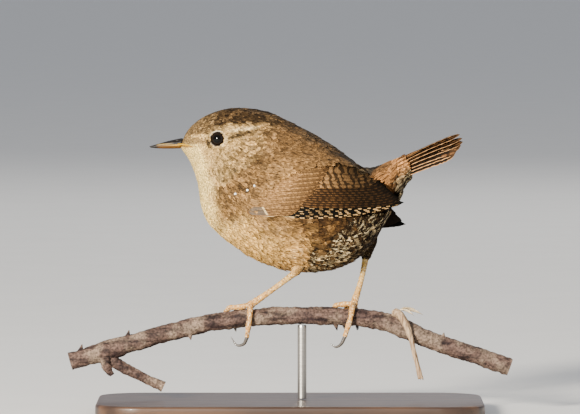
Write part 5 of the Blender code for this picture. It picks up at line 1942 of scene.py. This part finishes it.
def build_branch(look):
    """The cut branch, with its relief, twig, stub and thorns."""
    line = smooth_line([(x, 0.0, z) for x, z in BRANCH_LINE], 26)
    rough, fine = waves(31, 26, 16.0, 2.2, 4), waves(32, 40, 3.2, 0.7, 9)
    x_of = line[:, 0]

    def relief(share, turn):
        x = np.interp(share, np.linspace(0, 1, len(line)), x_of)
        return branch_radius(x) - BRANCH_RADIUS + 0.11 * rough(x, turn) + 0.05 * fine(x, turn)

    rings = tube(line, (BRANCH_RADIUS, BRANCH_RADIUS), 60, relief)
    ends = []
    for ring, near in ((rings[0], rings[1]), (rings[-1], rings[-2])):
        middle = ring.mean(axis=0)
        out = unit(middle - near.mean(axis=0))
        ends.append(
            [middle + (ring - middle) * s + out * 0.06 * (1 - s) for s in (0.2, 0.45, 0.7, 0.93)]
        )
    rings = np.array([*ends[0], *rings, *ends[1][::-1]])
    branch = ring_object("perch_branch", rings, look)
    twig = smooth_line([(x, 0.0, z) for x, z in TWIG_LINE], 22)

    def twig_relief(share, turn):
        return 0.07 * rough(share * 22, turn) + 0.05 * fine(share * 22, turn)

    pieces = [tube_object("twig", twig, TWIG_RADII, 36, look, twig_relief)]
    stub = smooth_line(STUB_LINE, 14)
    pieces.append(tube_object("stub", stub, STUB_RADII, 30, look, twig_relief))
    for x, turn, length in THORNS:
        root, tip = on_branch(x, turn, -0.8), on_branch(x + 0.5, turn, length)
        thorn = smooth_line([root, root + (tip - root) * 0.45, tip], 6)
        pieces.append(tube_object("thorn", thorn, (1.15, 0.62, 0.1), 16, look))
    branch = fuse([branch, *pieces], "perch_branch")
    branch.data.shade_smooth()
    branch.data.set_sharp_from_angle(angle=math.radians(48))
    mark_cuts(
        branch,
        (
            (rings[0].mean(axis=0), unit(line[0] - line[1])),
            (rings[-1].mean(axis=0), unit(line[-1] - line[-2])),
            (twig[-1], unit(twig[-1] - twig[-2])),
        ),
    )
    return branch


def mark_cuts(obj, ends):
    """Stores, per corner, how much of a sawn end it is and how far it lies from the pith."""
    mesh = obj.data
    points, normals = positions(mesh), read(mesh.polygons, "normal", 3)
    owner, corners = corner_faces(mesh), corner_verts(mesh)
    cut, pith = np.zeros(len(corners)), np.zeros(len(corners))
    for place, out in ends:
        gap = np.linalg.norm(points[corners] - place, axis=-1)
        here = ((normals[owner] @ out) > 0.8) & (gap < 4.5)
        cut[here] = 1.0
        pith[here] = gap[here]
    set_values(mesh, "cut", cut, "CORNER")
    set_values(mesh, "pith", pith, "CORNER")


def bark_surface():
    look = Surface("bark", roughness=0.8, specular=0.25)
    place = look.place()
    _, _, z = look.parts(place)
    streaks = look.noise(place, (140.0, 700.0, 700.0), 4.0)
    blotches = look.noise(place, 150, 3.0)
    grit = look.noise(place, 1600, 4.0)
    spots = look.node(
        "ShaderNodeTexVoronoi",
        {"feature": "F1"},
        look.node("ShaderNodeVectorMath", {"operation": "MULTIPLY"}, place, (420.0, 620.0, 620.0)),
        Scale=1.0,
    )
    colour = look.mix(streaks.step(0.34, 0.62), (34, 23, 21), (88, 69, 60))
    colour = look.mix(blotches.step(0.46, 0.64) * 0.75, colour, (122, 104, 88))
    colour = look.mix(blotches.fall(0.3, 0.44) * 0.6, colour, (38, 24, 25))
    lenticel = spots.fall(0.1, 0.2) * blotches.step(0.45, 0.6)
    colour = look.mix(lenticel * 0.6, colour, (142, 124, 100))
    colour = look.shade(colour, 0.4 + grit.step(0.3, 0.7) * 1.1)
    cut, pith = look.attribute("cut"), look.attribute("pith")
    rings = ((pith + blotches * 0.5) * 11.0).sine() * 0.5 + 0.5
    wood = look.mix(rings * 0.6, (214, 188, 146), (176, 142, 100))
    wood = look.mix(pith.fall(0.3, 0.55), wood, (150, 112, 74))
    wood = look.mix(pith.step(2.15, 2.35), wood, (104, 78, 58))
    return look.finish(
        look.mix(cut, colour, wood), grit * 0.6 + streaks + lenticel * 0.5, 0.7, 0.22
    )


def build_stem(look):
    """The dried stem under the branch, with frayed fibres at its end, and a papery bract."""
    rough = waves(41, 20, 9.0, 1.2, 5)
    line = smooth_line(STEM_LINE, 22)

    def ridges(share, turn):
        return 0.06 * rough(share * 22, turn) + 0.06 * np.sin(5 * turn + 9 * share)

    pieces = [tube_object("stem", line, STEM_RADII, 28, look, ridges)]
    draw = np.random.default_rng(9)
    end, ahead = line[-1], unit(line[-1] - line[-4])
    for k in range(7):
        turn = 2 * np.pi * k / 7
        side = np.array((math.cos(turn), math.sin(turn), 0))
        root = end - ahead * 1.2 + side * 0.35
        tip = end + ahead * draw.uniform(0.1, 0.5) + side * draw.uniform(0.5, 0.8)
        bent = (root + tip) / 2 + side * draw.uniform(0.05, 0.25)
        fibre = smooth_line([root, bent, tip], 6)
        pieces.append(tube_object("fibre", fibre, (0.3, 0.2, 0.06), 8, look))
    vanes = Vanes()
    root, tip = np.array(BRACT_ROOT), np.array(BRACT_TIP)
    for turn, reach, width in ((0.0, 1.0, 1.0), (0.5, 0.78, 0.7), (-0.45, 0.62, 0.6)):
        way = (tip - root) * reach
        way = np.array((way[0] * math.cos(turn * 0.3), way[1] + turn * 3.0, way[2] + turn * 1.4))

        def at(s, across, height):
            curl = 0.55 * (across / BRACT_HALF_WIDTH) ** 2
            lift = 0.6 * math.sin(math.pi * s) + curl + height + 0.08 * math.sin(9 * s + 3 * across)
            return root + way * s + np.array((0.0, across * width, lift))

        vanes.add(at, 8.0, BRACT_HALF_WIDTH, 0.7, 1, draw.uniform(), (0, 0, 1, 1), 24, 0.12, draw)
    bract = vanes.mesh("bract", look)
    for name in ("vane", "kind", "chance"):
        bract.data.attributes.remove(bract.data.attributes[name])
    bract.data.uv_layers.remove(bract.data.uv_layers["OFBake"])
    for obj in (*pieces, bract):
        share = 1.0 if obj is bract else 0.0
        set_values(obj.data, "paper", np.full(len(obj.data.vertices), share))
    return joined([*pieces, bract], "perch_stem")


def stem_surface():
    look = Surface("dry_stem", roughness=0.78, specular=0.2)
    place = look.place()
    paper = look.attribute("paper")
    fibres = look.noise(place, (1400.0, 1400.0, 200.0), 4.0)
    veins = look.noise(place, (160.0, 2200.0, 900.0), 3.0)
    stem = look.mix(fibres.step(0.35, 0.65), (112, 88, 66), (176, 150, 120))
    bract = look.mix(veins.step(0.35, 0.7), (226, 210, 178), (184, 158, 120))
    return look.finish(look.mix(paper, stem, bract), fibres + veins, 0.5, 0.1)


def rounded_outline(width, depth, radius, steps):
    """A rectangle with round corners."""
    points = []
    for k, (sx, sy) in enumerate(((1, 1), (-1, 1), (-1, -1), (1, -1))):
        middle = np.array((sx * (width / 2 - radius), sy * (depth / 2 - radius)))
        for a in np.linspace(k * np.pi / 2, (k + 1) * np.pi / 2, steps):
            points.append(middle + radius * np.array((math.cos(a), math.sin(a))))
    return np.array(points)


def build_base(look):
    width, depth, height = BASE_SIZE
    rings = []
    profile = [(0.35, 0.0), (0.0, 0.35), (0.0, height - BASE_EDGE)]
    profile += [
        (BASE_EDGE * (1 - math.cos(a)), height - BASE_EDGE * (1 - math.sin(a)))
        for a in np.linspace(0.2, math.pi / 2, 7)
    ]
    profile.append((BASE_EDGE + 1.2, height))
    for inset, z in profile:
        outline = rounded_outline(
            width - 2 * inset, depth - 2 * inset, BASE_CORNER_RADIUS - inset, 18
        )
        rings.append(np.column_stack([outline, np.full(len(outline), z)]))
    base = ring_object("stand_base", rings, look)
    base.data.set_sharp_from_angle(angle=math.radians(50))
    return base


def build_rod(look):
    """The rod, from just over the base up to just under the branch."""
    top = branch_centre(ROD_X)[2] - branch_radius(ROD_X) - 0.2
    foot = BASE_SIZE[2] + 0.3
    heights = [foot, foot + 0.15, *np.linspace(foot + 0.4, top - 0.3, 30), top]
    radii = [ROD_RADIUS - 0.15, ROD_RADIUS, *[ROD_RADIUS] * 30, ROD_RADIUS - 0.1]
    turns = circle(48)
    rings = [
        np.column_stack([ROD_X + r * np.cos(turns), r * np.sin(turns), np.full(48, z)])
        for z, r in zip(heights, radii)
    ]
    rod = ring_object("stand_rod", rings, look)
    rod.data.set_sharp_from_angle(angle=math.radians(40))
    return rod


def wood_surface():
    look = Surface("stand_wood", roughness=0.4, specular=0.45, coat=0.2)
    place = look.place()
    drift = look.noise(place, (9.0, 60.0, 60.0), 3.0)
    _, y, _ = look.parts(place)
    grain = ((y * 900.0) + drift * 16.0).sine() * 0.5 + 0.5
    pores = look.noise(place, (160.0, 2600.0, 2600.0), 3.0)
    colour = look.mix(grain, (52, 35, 24), (84, 58, 38))
    colour = look.mix(pores.step(0.56, 0.7) * 0.6, colour, (30, 19, 12))
    return look.finish(colour, pores, 0.25, 0.08, roughness=0.34 + pores * 0.2)


def metal_surface():
    look = Surface("stand_metal", roughness=0.3, metallic=1.0)
    brush = look.noise(look.place(), (300.0, 300.0, 9000.0), 3.0)
    return look.finish(
        look.mix(brush, (150, 146, 140), (196, 192, 184)),
        brush,
        0.15,
        0.03,
        roughness=0.24 + brush * 0.2,
    )


def skin_surface():
    look = Surface("skin", roughness=0.85, specular=0.15)
    tint = look.attribute("tint", "Color")
    down = look.noise(look.place(), 1400, 3.0)
    return look.finish(look.shade(tint, 0.55 + down * 0.7), down, 0.5, 0.1)


def floor_surface():
    look = Surface("floor", roughness=0.85, specular=0.2)
    grain = look.noise(look.place(), 30, 3.0)
    return look.finish(look.mix(grain, (226, 225, 221), (233, 232, 228)))


class WrenSizes(bpy.types.PropertyGroup):
    seed: bpy.props.IntProperty(
        name="Seed", description="Seed of every random draw", default=7, min=0
    )
    coat_density: bpy.props.FloatProperty(
        name="Coat density",
        description="How close the body feathers stand, 1 as on the bird",
        default=1.0, min=0.3, max=1.3, subtype="FACTOR",
    )
    feather_length: bpy.props.FloatProperty(
        name="Feather length",
        description="Length of the body feathers, 1 as on the bird",
        default=1.0, min=0.5, max=1.5, subtype="FACTOR",
    )
    feather_width: bpy.props.FloatProperty(
        name="Feather width",
        description="Width of the body feathers, 1 as on the bird",
        default=1.0, min=0.5, max=1.5, subtype="FACTOR",
    )
    camera_distance: bpy.props.FloatProperty(
        name="Camera distance",
        description="From the camera to the middle of the model",
        default=2.0, min=0.5, unit="LENGTH",
    )
    camera_tilt: bpy.props.FloatProperty(
        name="Camera tilt",
        description="How far the camera looks down",
        default=math.radians(2.2), subtype="ANGLE",
    )
    framed_width: bpy.props.FloatProperty(
        name="Framed width",
        description="How much the picture is wide at the model",
        default=0.174, min=0.01, unit="LENGTH",
    )
    floor_size: bpy.props.FloatProperty(
        name="Floor size", description="Side of the floor", default=100.0, min=1.0, unit="LENGTH"
    )
    key_power: bpy.props.FloatProperty(
        name="Key light", description="Power of the key light", default=185.0, min=0.0, unit="POWER"
    )
    key_colour: bpy.props.FloatVectorProperty(
        name="Key colour", description="Colour of the key light", default=(1.0, 0.93, 0.82),
        subtype="COLOR", min=0.0, max=1.0,
    )


def sizes():
    return bpy.context.scene.wren_sizes


class WREN_OT_skin(bpy.types.Operator):
    """Builds the skin under the plumage"""

    bl_idname = "wren.skin"
    bl_label = "Skin"

    def execute(self, context):
        skin = build_skin(skin_surface())
        flesh = ("head", "neck", "torso", "rump", "thigh_left", "thigh_right")
        finished(skin, flesh)
        return {"FINISHED"}


class WREN_OT_plumage(bpy.types.Operator):
    """Sets the body feathers on the skin"""

    bl_idname = "wren.plumage"
    bl_label = "Plumage"

    def execute(self, context):
        look = feather_surface()
        coat = body_coat(sizes())
        if len(coat.u) < 1000:
            raise RuntimeError("The plumage has too few feathers")
        left = coat.roots[:, 1] < 0
        for band, low, high in COAT_BANDS:
            for label, side in (("left", left), ("right", ~left)):
                part = coat.where((coat.u >= low) & (coat.u < high) & side)
                piece = part.grown(f"plumage_{band}_{label}", look, sizes())
                finished(colour_coat(piece))
        thighs = thigh_coat(sizes()).grown("plumage_thighs", look, sizes())
        finished(colour_coat(thighs))
        return {"FINISHED"}


class WREN_OT_eyes(bpy.types.Operator):
    """Builds the eyes and their lids"""

    bl_idname = "wren.eyes"
    bl_label = "Eyes"

    def execute(self, context):
        look, lids = eye_surface(), lid_surface()
        for side, label in SIDES.items():
            ball, lid = build_eye(side, look, lids)
            finished(ball, ("eye_" + label,))
            finished(lid)
        return {"FINISHED"}


class WREN_OT_bill(bpy.types.Operator):
    """Builds the bill and the corner of the mouth"""

    bl_idname = "wren.bill"
    bl_label = "Bill"

    def execute(self, context):
        lower_look = bill_surface("bill_pale", False)
        upper, lower = build_bill(bill_surface("bill_horn", True), lower_look)
        finished(upper, ("bill_upper",))
        finished(lower, ("bill_lower",))
        finished(build_gape(lower_look))
        return {"FINISHED"}


class WREN_OT_wings(bpy.types.Operator):
    """Builds both folded wings, feather by feather"""

    bl_idname = "wren.wings"
    bl_label = "Wings"

    def execute(self, context):
        look, down = flight_surface(), bed_surface()
        for side, label in SIDES.items():
            wing, bed = build_wing(side, sizes(), look)
            finished(wing, ("wing_" + label,))
            # Under each wing, a dark plate of painted shade
            under = turned_out(mesh_object("wing_down_" + label, *bed, down))
            finished(under)
        return {"FINISHED"}


class WREN_OT_tail(bpy.types.Operator):
    """Builds the tail, feather by feather"""

    bl_idname = "wren.tail"
    bl_label = "Tail"

    def execute(self, context):
        finished(build_tail(sizes(), tail_surface()), ("tail",))
        return {"FINISHED"}


class WREN_OT_legs(bpy.types.Operator):
    """Builds the legs, feet and claws"""

    bl_idname = "wren.legs"
    bl_label = "Legs"

    def execute(self, context):
        look, horn = leg_surface(), claw_surface()
        for side, label in SIDES.items():
            tarsus, foot = build_leg(side, look)
            finished(tarsus, ("tarsus_" + label,))
            finished(foot, ("foot_" + label,))
            for claw in build_claws(side, horn):
                finished(claw, (claw.name.split(".")[0],))
        return {"FINISHED"}


class WREN_OT_perch(bpy.types.Operator):
    """Builds the cut branch with its dried stem"""

    bl_idname = "wren.perch"
    bl_label = "Perch"

    def execute(self, context):
        finished(build_branch(bark_surface()), ("perch_branch",))
        finished(build_stem(stem_surface()), ("perch_stem",))
        return {"FINISHED"}


class WREN_OT_stand(bpy.types.Operator):
    """Builds the display stand"""

    bl_idname = "wren.stand"
    bl_label = "Display stand"

    def execute(self, context):
        finished(build_base(wood_surface()), ("stand_base",))
        finished(build_rod(metal_surface()), ("stand_rod",))
        return {"FINISHED"}


# The stage, in metres and watts
AIM = (0.0, 0.0, 0.0619)
KEY_PLACE, KEY_SIZE = (-1.05, -1.9, 0.66), 0.34
OTHER_LIGHTS = (
    ("fill", (1.5, -1.5, 0.9), 6.0, 1.4, (0.9, 0.94, 1.0)),
    ("back", (0.5, 1.6, 1.2), 10.0, 1.2, (1.0, 0.98, 0.95)),
)
SKY_COLOUR, SKY_STRENGTH = (0.86, 0.9, 1.0, 1.0), 0.5


def add_light(name, place, power, size, colour):
    """A square light that looks at the model."""
    lamp = bpy.data.lights.new(name, "AREA")
    lamp.energy, lamp.size, lamp.color = power, size, colour
    obj = placed(name, lamp)
    obj.location = place
    obj.rotation_euler = (Vector(AIM) - Vector(place)).to_track_quat("-Z", "Y").to_euler()


class WREN_OT_stage(bpy.types.Operator):
    """Lays the floor and sets the lights and the camera"""

    bl_idname = "wren.stage"
    bl_label = "Stage"

    def execute(self, context):
        given, scene = sizes(), context.scene
        half = given.floor_size / 2 / MM
        corners = [(-half, -half, 0), (half, -half, 0), (half, half, 0), (-half, half, 0)]
        floor = mesh_object("floor", corners, [(0, 1, 2, 3)], floor_surface())
        world = bpy.data.worlds.new("studio")
        world.use_nodes = True
        sky = world.node_tree.nodes["Background"]
        sky.inputs["Color"].default_value = SKY_COLOUR
        sky.inputs["Strength"].default_value = SKY_STRENGTH
        scene.world = world
        add_light("key", KEY_PLACE, given.key_power, KEY_SIZE, given.key_colour)
        for name, place, power, size, colour in OTHER_LIGHTS:
            add_light(name, place, power, size, colour)
        camera = bpy.data.cameras.new("camera")
        camera.sensor_width = 36.0
        camera.lens = camera.sensor_width * given.camera_distance / given.framed_width
        camera.clip_start, camera.clip_end = 0.01, 500.0
        eye = placed("camera", camera)
        tilt, distance = given.camera_tilt, given.camera_distance
        eye.location = (0, -distance * math.cos(tilt), AIM[2] + distance * math.sin(tilt))
        eye.rotation_euler = (math.pi / 2 - tilt, 0, 0)
        scene.camera = eye
        return {"FINISHED"}


PIECES = ("skin", "plumage", "eyes", "bill", "wings", "tail", "legs", "perch", "stand", "stage")
OPERATORS = (
    WREN_OT_skin, WREN_OT_plumage, WREN_OT_eyes, WREN_OT_bill, WREN_OT_wings,
    WREN_OT_tail, WREN_OT_legs, WREN_OT_perch, WREN_OT_stand, WREN_OT_stage,
)


class WREN_PT_panel(bpy.types.Panel):
    """The sizes of the wren and a button for each of its pieces"""

    bl_idname = "WREN_PT_panel"
    bl_label = "Wren"
    bl_space_type = "VIEW_3D"
    bl_region_type = "UI"
    bl_category = "Wren"

    def draw(self, context):
        for name in WrenSizes.__annotations__:
            self.layout.prop(context.scene.wren_sizes, name)
        for operator in OPERATORS:
            self.layout.operator(operator.bl_idname)


CLASSES = (WrenSizes, *OPERATORS, WREN_PT_panel)


def register():
    for made in CLASSES:
        bpy.utils.register_class(made)
    bpy.types.Scene.wren_sizes = bpy.props.PointerProperty(type=WrenSizes)


def unregister():
    del bpy.types.Scene.wren_sizes
    for made in reversed(CLASSES):
        bpy.utils.unregister_class(made)


def main():
    register()
    for name in PIECES:
        getattr(bpy.ops.wren, name)()


if __name__ == "__main__":
    main()
